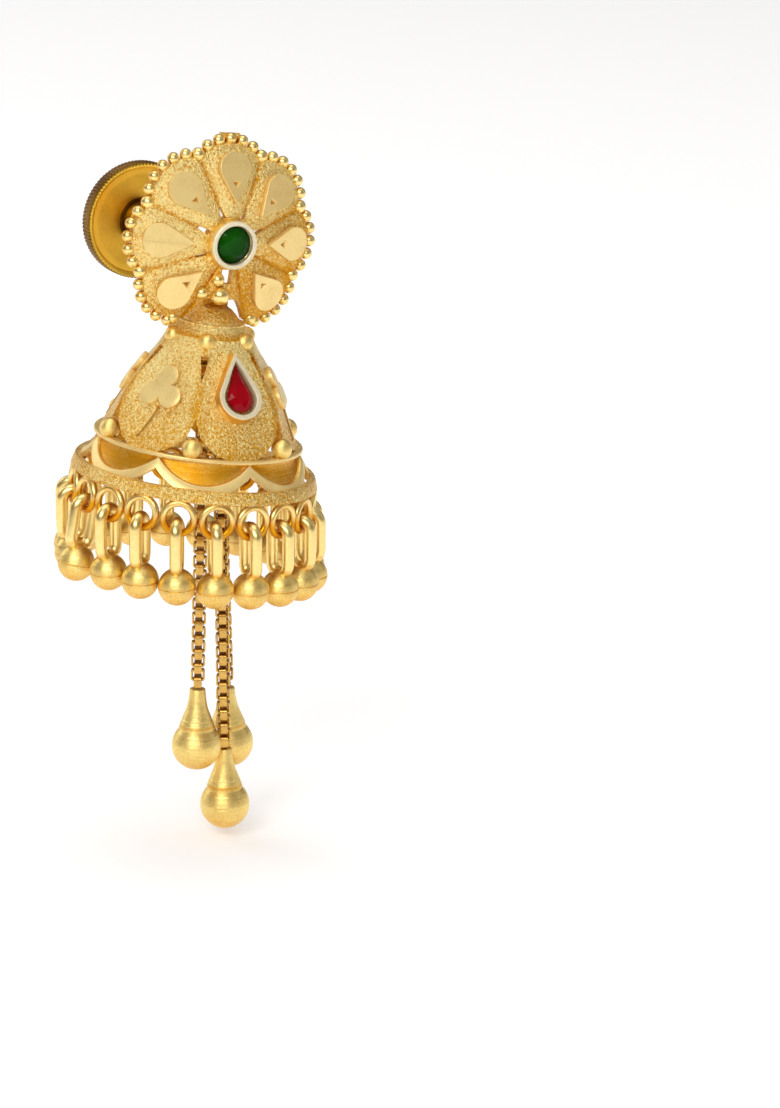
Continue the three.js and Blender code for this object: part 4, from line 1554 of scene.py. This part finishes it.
    def _trefoils(self) -> Clay:
        """Build the raised trefoils with the stem under each.

        Returns:
            The surfaces.
        """
        clay = Clay()
        outline = trefoil_outline(self.trefoil_lobe, self.trefoil_spread)
        for angle in range(0, 360, 360 // self.petals):
            if angle in self.stone_angles:
                continue
            raised_patch(clay, outline, self.over(angle, self.trefoil_height), self.trefoil_raise, Finish.PALE)
            self._stem(clay, angle)
        return clay

    def _stem(self, clay: Clay, angle: float) -> None:
        """Add the thin curved stem under a trefoil.

        Args:
            clay: Where it is added.
            angle: The petal's angle from the front.
        """
        surface = self.over(angle, self.trefoil_height)
        steps, bend, curve, length = 14, 0.75, 1.4, 2.2
        width, thinning, flat, thick, lift = 0.08, 0.4, 0.3, 0.045, 0.02
        turns = [math.radians(60 * k) for k in range(6)]
        rows = []
        for i in range(steps + 1):
            share = i / steps
            x = 0.1 - bend * share ** curve
            y = -1.1 - length * share
            half = width * (1 - thinning * share)
            rows.append([
                surface(x + half * math.cos(t), y + half * math.sin(t) * flat, thick * math.sin(t) + lift)
                for t in turns
            ])
        clay.loft(rows, Finish.PALE)

    def _collets(self) -> Clay:
        """Build the pear collets with their white front edges.

        Returns:
            The surfaces.
        """
        clay = Clay()
        outer_step = self.collet_wall + self.gap
        outer = self._pear(outer_step)
        foot = self._pear(outer_step + self.pear_flare)
        inner = self._pear(self.gap)
        soft = between(outer, inner, 0.16)
        lip = between(inner, outer, 0.12)
        stand = self.pear_stand
        levels = [
            (foot, -0.3), (foot, 0.04), (outer, stand * 0.4), (outer, stand - 0.06), (soft, stand), (lip, stand),
            (inner, stand - 0.05), (inner, stand - 0.3), (inner, stand - self.stone_seat), (inner, -0.3),
        ]
        for angle in self.stone_angles:
            surface = self.over(angle, self.pear_tip)
            rows = [[surface(x, y, level) for x, y in path] for path, level in levels]
            flipped = [list(row) for row in zip(*rows)]
            bands = {k: Finish.WHITE_RIM for k in (3, 4, 5, 6, 7)}
            clay.loft(flipped, Finish.POLISHED, loop=True, bands=bands)
        return clay

    def _pear(self, grow: float) -> list[tuple[float, float]]:
        """Return the red stone's outline grown by a step, with its point up."""
        outline = tear_outline(self.pear_width + 2 * grow, self.pear_length + 2.6 * grow)
        return [(-x, 1.6 * grow - y) for x, y in outline]

    def _stones(self) -> None:
        """Build the red stones."""
        outline = tear_outline(self.pear_width, self.pear_length, 14)
        girdle = [(-x, -y) for x, y in outline[::2]]
        centre = (0.0, -(self.pear_length - self.pear_width / 2) * 0.92)
        corners = cut_stone(girdle, centre, self.stone_crown, self.stone_depth)
        for number, angle in enumerate(self.stone_angles, start=1):
            middle = self.pear_tip + self.stone_drop
            side = self.at(1, angle + 90, 0) + Vector((0, self.forward, 0))
            out = self.at(1, angle, 0) + Vector((0, self.forward, 0))
            up = (Vector((0, 0, 1)) - out * self.slope(angle, middle)).normalized()
            normal = side.cross(up).normalized()
            if normal.dot(out) < 0:
                normal = -normal
            wall = self.at(self.surface(angle, middle), angle, middle)
            origin = wall + up * self.stone_drop / self.wall_scale
            points = [origin + side * p.x + up * p.y + normal * (p.z + self.pear_stand - 0.2) for p in corners]
            heart = origin + up * centre[1]
            # Painted light and shade: the stone is lightest at its heart and darkens away from it.
            stone = hull_piece(f"red_stone_piece_{number}", points, Finish.RED,
                               lambda p, h=heart: min(1.0, ((p - h).length / 1.5) ** 1.5 * 0.8))
            mount_piece(stone, [f"red_stone_{number}"])

    def _rail(self) -> Clay:
        """Build the flat rail on which the petals stand.

        Returns:
            The surfaces.
        """
        clay = Clay()
        top, low = self.foot, self.foot + self.rail_thick
        outer, inner, soft = self.rail_radius, self.rail_radius - self.rail_wall, 0.07
        profile = [
            (inner, top), (outer - soft, top), (outer - soft * 0.3, top + soft * 0.3), (outer, top + soft),
            (outer, low - soft), (outer - soft, low), (inner, low),
        ]
        self.turned(profile, 144, clay, Finish.SANDED, {k: Finish.PALE for k in (1, 2, 3)})
        return clay

    def _skirt(self) -> Clay:
        """Build the scalloped skirt: a turned channel under the rail and a pale border.

        Returns:
            The surfaces.
        """
        clay = Clay()
        per_scallop, soft = 32, 0.06
        top = self.foot + self.rail_thick / 2
        line = self.skirt_line
        rows = []
        for i in range(self.scallops * per_scallop):
            share = abs((i % per_scallop) / per_scallop - 0.5) * 2
            angle = self.scallop_phase + 360 * i / (self.scallops * per_scallop)
            edge = self.skirt_foot + (self.skirt_peak - self.skirt_foot) * share ** 2
            border = max(top + 0.06, edge - self.strip)
            set_back = self.channel * min(1.0, (border - top) / 0.4)
            high, middle, low = (top * 3 + border) / 4, (top + border) / 2, (top + border * 3) / 4
            spots = [
                (line(top) - set_back * 0.6, top),
                (line(high) - set_back * 1.1, high),
                (line(middle) - set_back * 1.25, middle),
                (line(low) - set_back * 1.15, low),
                (line(border) - set_back, border - 0.02),
                (line(border) - soft, border),
                (line(border), border + soft),
                (line((border + edge) / 2) + 0.03, (border + edge) / 2),
                (line(edge), edge - soft),
                (line(edge) - soft, edge),
                (line(edge) - self.skirt_wall, edge),
                (line(top) - self.skirt_wall, top),
            ]
            rows.append([self.at(radius, angle, depth) for radius, depth in spots])
        bands = {k: Finish.SATIN for k in range(5)} | {k: Finish.PALE for k in range(5, 9)}
        clay.loft(rows, Finish.SANDED, loop=True, bands=bands)
        return clay

    def _hoop(self) -> Clay:
        """Build the flared band over the rings.

        Returns:
            The surfaces.
        """
        clay = Clay()
        high, low = self.hoop_top, self.hoop_top + self.hoop_height
        lower, upper = self.hoop_radius, self.hoop_radius - self.hoop_flare
        wall, soft = self.hoop_wall, 0.07
        profile = [
            (upper - soft, high), (upper, high + soft), (lower, low - soft), (lower - soft, low),
            (lower - wall + soft, low), (lower - wall, low - soft), (upper - wall, high + soft),
            (upper - wall + soft, high),
        ]
        self.turned(profile, 160, clay, Finish.SANDED)
        return clay

    def ring_depth(self) -> float:
        """Return how far under the flower's centre the rings' middles are."""
        return self.hoop_top + self.hoop_height + self.ring_mean + self.ring_wire - 0.12

    def ring_angles(self) -> list[float]:
        """Return the rings' angles from the front."""
        return [self.ring_phase + 360 * i / self.rings for i in range(self.rings)]

    def _rings(self) -> Clay:
        """Build the rings soldered under the hoop.

        Returns:
            The surfaces.
        """
        clay = Clay()
        for angle in self.ring_angles():
            middle = self.at(self.ring_circle, angle, self.ring_depth())
            turn = Matrix.Rotation(math.radians(angle), 3, "Z")
            clay.ring(self.ring_mean, self.ring_wire, lambda p, t=turn, m=middle: t @ p + m, Finish.POLISHED)
        return clay


@dataclass
class Drops:
    """The fringe of ball drops, one hooked through each ring."""

    bell: Bell
    wire: float = 0.39
    play: float = 0.05
    half_width: float = 0.68
    ball: float = 1.2
    hang: float = 3.5
    swung: int = 16
    swing: float = 11.0

    def build(self) -> None:
        """Build one drop and hang a copy in each ring."""
        first: bpy.types.Object | None = None
        for number, angle in enumerate(self.bell.ring_angles(), start=1):
            name = f"drop_{number:02d}"
            if first is None:
                piece = self._drop(name)
                first = piece
            else:
                piece = bpy.data.objects.new(name, first.data)
                bpy.context.scene.collection.objects.link(piece)
            depth = self.bell.ring_depth() + self.bell.ring_mean
            piece.location = LEAN.place(self.bell.at(self.bell.ring_circle, angle, depth)) * MM
            lean = math.radians(-self.swing if number == self.swung else 0.0)
            piece.rotation_euler = (0.0, lean, math.radians(angle - 90))
            mount_piece(piece, [f"ball_drop_{number:02d}"])

    def _drop(self, name: str) -> bpy.types.Object:
        """Build a drop whose ring's wire is at the origin, with its loop in the XZ plane.

        Args:
            name: The drop's name.

        Returns:
            The drop.
        """
        clay = Clay()
        top = self.bell.ring_wire + self.play + self.wire - self.half_width
        foot = self.half_width - self.hang + self.ball * 0.85
        steps, sides = 24, 12
        rounds = [math.radians(360 / sides * k) for k in range(sides)]
        rows = []
        for i in range(steps + 1):
            turn = math.radians(15 * i)
            out = Vector((math.cos(turn), 0, math.sin(turn)))
            heights = (top, foot) if i == steps // 2 else (top,) if i < steps // 2 else (foot,)
            for height in heights:
                middle = Vector((0, 0, height)) + out * self.half_width
                rows.append([middle + out * self.wire * math.cos(a) + Vector((0, self.wire * math.sin(a), 0))
                             for a in rounds])
        clay.loft(rows, Finish.POLISHED, loop=True)
        self._ball(clay)
        return clay.object(name, self._painted_shade, lambda p: p.z)

    def _ball(self, clay: Clay) -> None:
        """Add the turned ball with the fine seam round its middle.

        Args:
            clay: Where it is added.
        """
        steps, seam, lip = 22, 0.02, 0.03
        profile = [(0.0, 1.0)]
        for i in range(1, steps):
            up = math.pi * i / steps
            profile.append((math.sin(up), math.cos(up)))
        profile.append((0.0, -1.0))
        cut = [(r * (1 - seam) if abs(z) < 0.01 else r, z) for r, z in profile]
        cut.insert(steps // 2, (math.cos(lip), math.sin(lip)))
        cut.insert(steps // 2 + 2, (math.cos(lip), -math.sin(lip)))
        outline = [(max(r, ON_AXIS) * self.ball, z * self.ball - self.hang) for r, z in cut]
        clay.lathe(outline, 40, Finish.SATIN, lambda p: p)

    def _painted_shade(self, point: Vector) -> float:
        """Return how much shade is painted on a point of a drop.

        Args:
            point: The point.

        Returns:
            0 to 1: painted shade in the ball's lower half, in its seam and at the loop's foot.
        """
        z = point.z + self.hang
        seam = 0.6 * math.exp(-((z / 0.03) ** 2))
        lower = 0.5 * max(0.0, 0.2 - z / self.ball)
        loop_foot = 0.5 if 0.95 < z / self.ball < 1.1 else 0.0
        return min(1.0, seam + lower + loop_foot)


@dataclass(frozen=True)
class ChainLine:
    """Where one chain hangs: its name and its ball's place in the jewel's own axes."""

    name: str
    right: float
    behind: float
    drop: float


@dataclass
class Tassel:
    """The three box chains and their end drops."""

    bell: Bell
    chains: tuple[ChainLine, ...] = (
        ChainLine("left", -2.1, -0.93, 33.45),
        ChainLine("middle", -0.06, -0.97, 37.8),
        ChainLine("back", 1.08, 0.81, 34.26),
    )
    gap: float = 0.08
    spread: float = 0.6
    pitch: float = 0.47
    link_width: float = 0.92
    link_height: float = 0.78
    strip: float = 0.5
    metal: float = 0.14
    ball: float = 1.62
    cone_top: float = 3.85
    facing: float = -26.0
    slack: float = 3.0
    slack_rate: float = 0.35

    def build(self) -> None:
        """Build each chain and its end drop."""
        hook = LEAN.place(Vector((0, -self.bell.forward, -(self.bell.hanger + self.bell.hanger_wire))))
        tilt = LEAN.place(Vector((0, 0, 0)))
        for chain in self.chains:
            centre = Vector((tilt.x + chain.right, tilt.y + chain.behind, tilt.z - chain.drop))
            away = (Vector((centre.x, centre.y)) - Vector((hook.x, hook.y))).normalized()
            top = hook + Vector((away.x, away.y, 0)) * self.spread
            top.z -= self.gap
            line = (centre - top).normalized()
            end = centre - line * (self.cone_top + self.gap)
            self._links(chain.name, top, end)
            self._end_drop(chain.name, centre, line)

    def _links(self, name: str, top: Vector, end: Vector) -> None:
        """Build a chain's links, each a quarter turn from the last.

        Args:
            name: The chain's name.
            top: Its upper end.
            end: Its lower end.
        """
        clay = Clay()
        line = end - top
        reach = line.length - self.link_height
        count = round(reach / self.pitch) + 1
        down = line.normalized()
        base = Vector((0, 0, -1)).rotation_difference(down).to_matrix()
        face = Matrix.Rotation(math.radians(self.facing), 3, "Z")
        for i in range(count):
            middle = top + down * (self.link_height / 2 + reach * i / (count - 1))
            slack = self.slack * math.sin(i * self.slack_rate)
            twist = Matrix.Rotation(math.radians(90 * (i % 2) + slack), 3, "Z")
            turn = base @ face @ twist
            self._link(clay, lambda p, t=turn, m=middle: t @ p + m)
        piece = clay.object(f"links_{name}", self._link_painted_shade(top, down), crease=40)
        mount_piece(piece, [f"chain_{name}"])

    def _link(self, clay: Clay, place: Placing) -> None:
        """Add one box link: a square of flat strip, open to its front and back.

        Args:
            clay: Where it is added.
            place: Puts a point of the link where it belongs.
        """
        half_w, half_h = self.link_width / 2, self.link_height / 2
        corner, soft = 0.17, 0.035
        half, metal = self.strip / 2, self.metal
        section = [
            (0, -half + soft), (0, half - soft), (soft, half), (metal - soft, half),
            (metal, half - soft), (metal, -half + soft), (metal - soft, -half), (soft, -half),
        ]
        rows = []
        for k, (sx, sz) in enumerate(((1, 1), (-1, 1), (-1, -1), (1, -1))):
            core = Vector((sx * (half_w - corner), 0, sz * (half_h - corner)))
            for step in range(4):
                turn = math.radians(90 * k + 30 * step)
                out = Vector((math.cos(turn), 0, math.sin(turn)))
                rows.append([place(core + out * (corner - inward) + Vector((0, y, 0))) for inward, y in section])
        clay.loft(rows, Finish.CHAIN, loop=True)

    def _link_painted_shade(self, top: Vector, down: Vector) -> Shade:
        """Return the shade painted on a chain, darker towards its core.

        Args:
            top: The chain's upper end.
            down: The way it hangs.

        Returns:
            The shade painted on a point.
        """

        def painted_shade(point: Vector) -> float:
            """Return the shade painted on one point.

            Args:
                point: The point.

            Returns:
                0 to 0.9, most at the core.
            """
            offset = point - top
            away = (offset - down * offset.dot(down)).length
            return max(0.0, min(1.0, (0.42 - away) / 0.12)) * 0.9

        return painted_shade

    def _end_drop(self, name: str, centre: Vector, line: Vector) -> None:
        """Build the cone and ball at a chain's end.

        Args:
            name: The chain's name.
            centre: The ball's centre.
            line: The way the chain hangs.
        """
        clay = Clay()
        top, mouth = self.cone_top, 0.52
        flank = [
            (mouth - 0.08, top), (mouth - 0.02, top - 0.03), (mouth, top - 0.1), (0.56, top - 0.6),
            (0.62, top - 1.0), (0.72, top - 1.4), (0.86, top - 1.75), (1.0, 1.72), (1.1, 1.5), (1.13, 1.36),
        ]
        start = math.acos(1.14 / self.ball) - 0.02
        steps = 26
        arc = []
        for i in range(steps + 1):
            turn = start - (start + math.pi / 2) * i / steps
            arc.append((max(ON_AXIS, self.ball * math.cos(turn)), self.ball * math.sin(turn)))
        turn = Vector((0, 0, -1)).rotation_difference(line)
        clay.lathe([(ON_AXIS, top - 0.05)] + flank + arc, 48, Finish.SATIN, lambda p: turn @ p + centre)
        seam = centre - line * 1.34

        def painted_shade(point: Vector) -> float:
            """Return the shade painted in the seam and low on the ball."""
            at_seam = 0.7 * math.exp(-(((point - seam).dot(line) / 0.07) ** 2))
            return min(1.0, at_seam + 0.45 * max(0.0, (point - centre).dot(line) / self.ball))

        piece = clay.object(f"end_piece_{name}", painted_shade, lambda p: (p - centre).dot(line), crease=30)
        mount_piece(piece, [f"end_drop_{name}"])


@dataclass
class Back:
    """The ear post and the screw back on it."""

    post_radius: float = 0.5
    post_front: float = 1.35
    post_length: float = 13.8
    gap: float = 0.08
    radius: float = 3.9
    front: float = 10.95
    thick: float = 1.3
    dish: float = 0.35
    rim: float = 0.24
    boss: float = 1.3
    boss_stand: float = 0.75
    groove: float = 0.18
    knurls: int = 96
    knurl_depth: float = 0.07

    def build(self) -> None:
        """Build the post and the screw back."""
        clay = Clay()
        radius, start, end, soft = self.post_radius, -self.post_front, self.post_length - self.post_front, 0.12
        profile = [(ON_AXIS, start), (radius, start), (radius, end - soft), (radius - soft, end), (ON_AXIS, end)]
        clay.lathe(profile, 40, Finish.SATIN, lambda p: Vector((p.x, p.z, -p.y)))
        mount_piece(clay.object("post", turning=lambda p: p.y), ["ear_post"])
        mount_piece(self._disc(), ["screw_back"], "screw_back")

    def _disc(self) -> bpy.types.Object:
        """Build the dished disc with its boss and its milled edge.

        Returns:
            The piece.
        """
        clay = Clay()
        bore = self.post_radius + self.gap
        boss, stand, groove = self.boss, self.boss_stand, self.groove
        outer, thick, dish = self.radius, self.thick, self.dish
        rim, deep = outer - self.rim, boss + groove
        profile = [
            (bore, -stand), (boss - 0.14, -stand), (boss - 0.04, -stand + 0.05), (boss, -stand + 0.16),
            (boss, dish + groove), (deep, dish + groove), (deep + 0.03, dish + 0.02),
        ]
        for i in range(9):
            share = i / 8
            profile.append((deep + 0.1 + (rim - 0.3 - deep) * share, dish * (1 - 0.2 * share ** 2)))
        profile += [(rim - 0.05, 0.06), (rim + 0.05, 0.0)]
        edge = [(outer - 0.12, 0.0), (outer - 0.02, 0.1), (outer, 0.2), (outer, thick - 0.25),
                (outer - 0.06, thick - 0.12)]
        milled = range(len(profile), len(profile) + len(edge))
        profile += edge + [(outer - 0.25, thick), (bore, thick)]
        teeth = (0.0, 0.35, 1.0, 0.35)
        sides = self.knurls * len(teeth)
        rows = []
        for i in range(sides):
            turn = 2 * math.pi * i / sides
            tooth = teeth[i % len(teeth)] * self.knurl_depth
            row = []
            for k, (r, y) in enumerate(profile):
                cut = tooth if k in milled else 0.0
                row.append(Vector(((r - cut) * math.cos(turn), y + self.front, (r - cut) * math.sin(turn))))
            rows.append(row)
        clay.loft(rows, Finish.DISC, loop=True)
        return clay.object("screw_disc", self._disc_painted_shade, lambda p: math.hypot(p.x, p.z))

    def _disc_painted_shade(self, point: Vector) -> float:
        """Return how much shade is painted on a point of the disc.

        Args:
            point: The point.

        Returns:
            0 to 1: painted shade, most in the groove round the boss and on the milled edge, and a little on what
                    lies over 0.3 mm behind the disc's front.
        """
        radius = math.hypot(point.x, point.z)
        if abs(radius - self.boss - self.groove / 2) < self.groove * 0.6 and point.y < self.front + 0.6:
            return 1.0
        if radius > self.radius - 0.14:
            return 1.0
        return 0.0 if point.y < self.front + 0.3 else 0.25


# Stage


@dataclass(frozen=True)
class SoftBox:
    """A soft light over the floor: its place and size in metres and its power in watts."""

    name: str
    place: tuple[float, float, float]
    size: float
    power: float


@dataclass
class Studio:
    """The pale floor, the soft lights and the camera, with its lengths in metres, apart from the aim."""

    azimuth: float = -25.6
    elevation: float = 15.43
    distance: float = 0.3
    focal_pixels: float = 4675.0
    frame_width: int = 780
    frame_height: int = 1108
    aim: tuple[float, float, float] = (-1.335, -0.35, -10.72)
    aim_pixel: tuple[float, float] = (198.8, 421.6)
    floor_gap: float = 0.0006
    soft_boxes: tuple[SoftBox, ...] = (
        SoftBox("key", (-0.32, -0.26, 0.3), 0.22, 0.85),
        SoftBox("front", (-0.17, -0.4, 0.24), 0.15, 0.36),
        SoftBox("right", (0.42, -0.12, 0.12), 0.22, 0.07),
        SoftBox("top", (0.02, 0.06, 0.42), 0.34, 0.6),
        SoftBox("behind", (-0.2, 0.42, 0.2), 0.3, 0.4),
    )

    def build(self) -> None:
        """Build the floor, the lights, the surroundings and the camera."""
        self._floor()
        self._world()
        self._lights()
        self._camera()
        bpy.context.scene.view_settings.view_transform = "Standard"

    def _floor(self) -> None:
        """Lay a plain pale floor just under the lowest ball."""
        half = 3.0
        height = CAD_BOX[0].z - self.floor_gap
        mesh = bpy.data.meshes.new("floor")
        corners = [(-half, -half, height), (half, -half, height), (half, half, height), (-half, half, height)]
        mesh.from_pydata(corners, [], [(0, 1, 2, 3)])
        floor = bpy.data.objects.new("floor", mesh)
        material, bench = start_material("floor_white")
        bench.set(Base_Color=rgba(0.94, 0.94, 0.94), Roughness=0.9, Specular_IOR_Level=0.1,
                  Emission_Color=rgba(1.0, 1.0, 1.0), Emission_Strength=0.3)
        mesh.materials.append(material)
        bpy.context.scene.collection.objects.link(floor)

    def _world(self) -> None:
        """Surround the piece with soft white that is darker towards the horizon."""
        world = bpy.data.worlds.new("studio")
        bpy.context.scene.world = world
        world.use_nodes = True
        bench = Bench(world.node_tree, "Background")
        place = bench.node("ShaderNodeTexCoord", {}, {}, "Generated")
        height = bench.node("ShaderNodeSeparateXYZ", {}, {0: place}, "Z")
        stops = ((0.0, rgba(0.2, 0.1, 0.02)), (0.75, rgba(1.0, 1.0, 1.0)))
        bench.set(Color=bench.node("ShaderNodeValToRGB", {"stops": stops}, {0: height}), Strength=0.42)

    def _lights(self) -> None:
        """Hang the soft boxes."""
        middle = (Vector(CAD_BOX[0]) + Vector(CAD_BOX[1])) / 2
        for box in self.soft_boxes:
            lamp = bpy.data.lights.new(box.name, "AREA")
            lamp.energy = box.power
            lamp.size = box.size
            holder = bpy.data.objects.new(box.name, lamp)
            holder.location = box.place
            holder.rotation_euler = (middle - Vector(box.place)).to_track_quat("-Z", "Y").to_euler()
            bpy.context.scene.collection.objects.link(holder)

    def _camera(self) -> None:
        """Place the camera at the photo's angle and framing."""
        turn, lift = math.radians(self.azimuth), math.radians(self.elevation)
        back = Vector((math.sin(turn) * math.cos(lift), -math.cos(turn) * math.cos(lift), math.sin(lift)))
        lens = bpy.data.cameras.new("camera")
        lens.sensor_width = 36.0
        lens.lens = lens.sensor_width * self.focal_pixels / self.frame_height
        lens.shift_x = (self.frame_width / 2 - self.aim_pixel[0]) / self.frame_height
        lens.shift_y = (self.aim_pixel[1] - self.frame_height / 2) / self.frame_height
        lens.clip_start, lens.clip_end = 0.01, 20.0
        holder = bpy.data.objects.new("camera", lens)
        holder.location = Vector(self.aim) * MM + back * self.distance
        holder.rotation_mode = "QUATERNION"
        holder.rotation_quaternion = (-back).to_track_quat("-Z", "Y")
        bpy.context.scene.collection.objects.link(holder)
        bpy.context.scene.camera = holder


def main() -> None:
    """Build the earring's sub-assemblies in order, then the stage."""
    logging.basicConfig(level=logging.INFO, format="%(name)s %(message)s")
    Studio().build()
    bell = Bell()
    for part in (Flower(), bell, Drops(bell), Tassel(bell), Back()):
        part.build()
        LOG.info("%s is built", type(part).__name__)


if __name__ == "__main__":
    main()
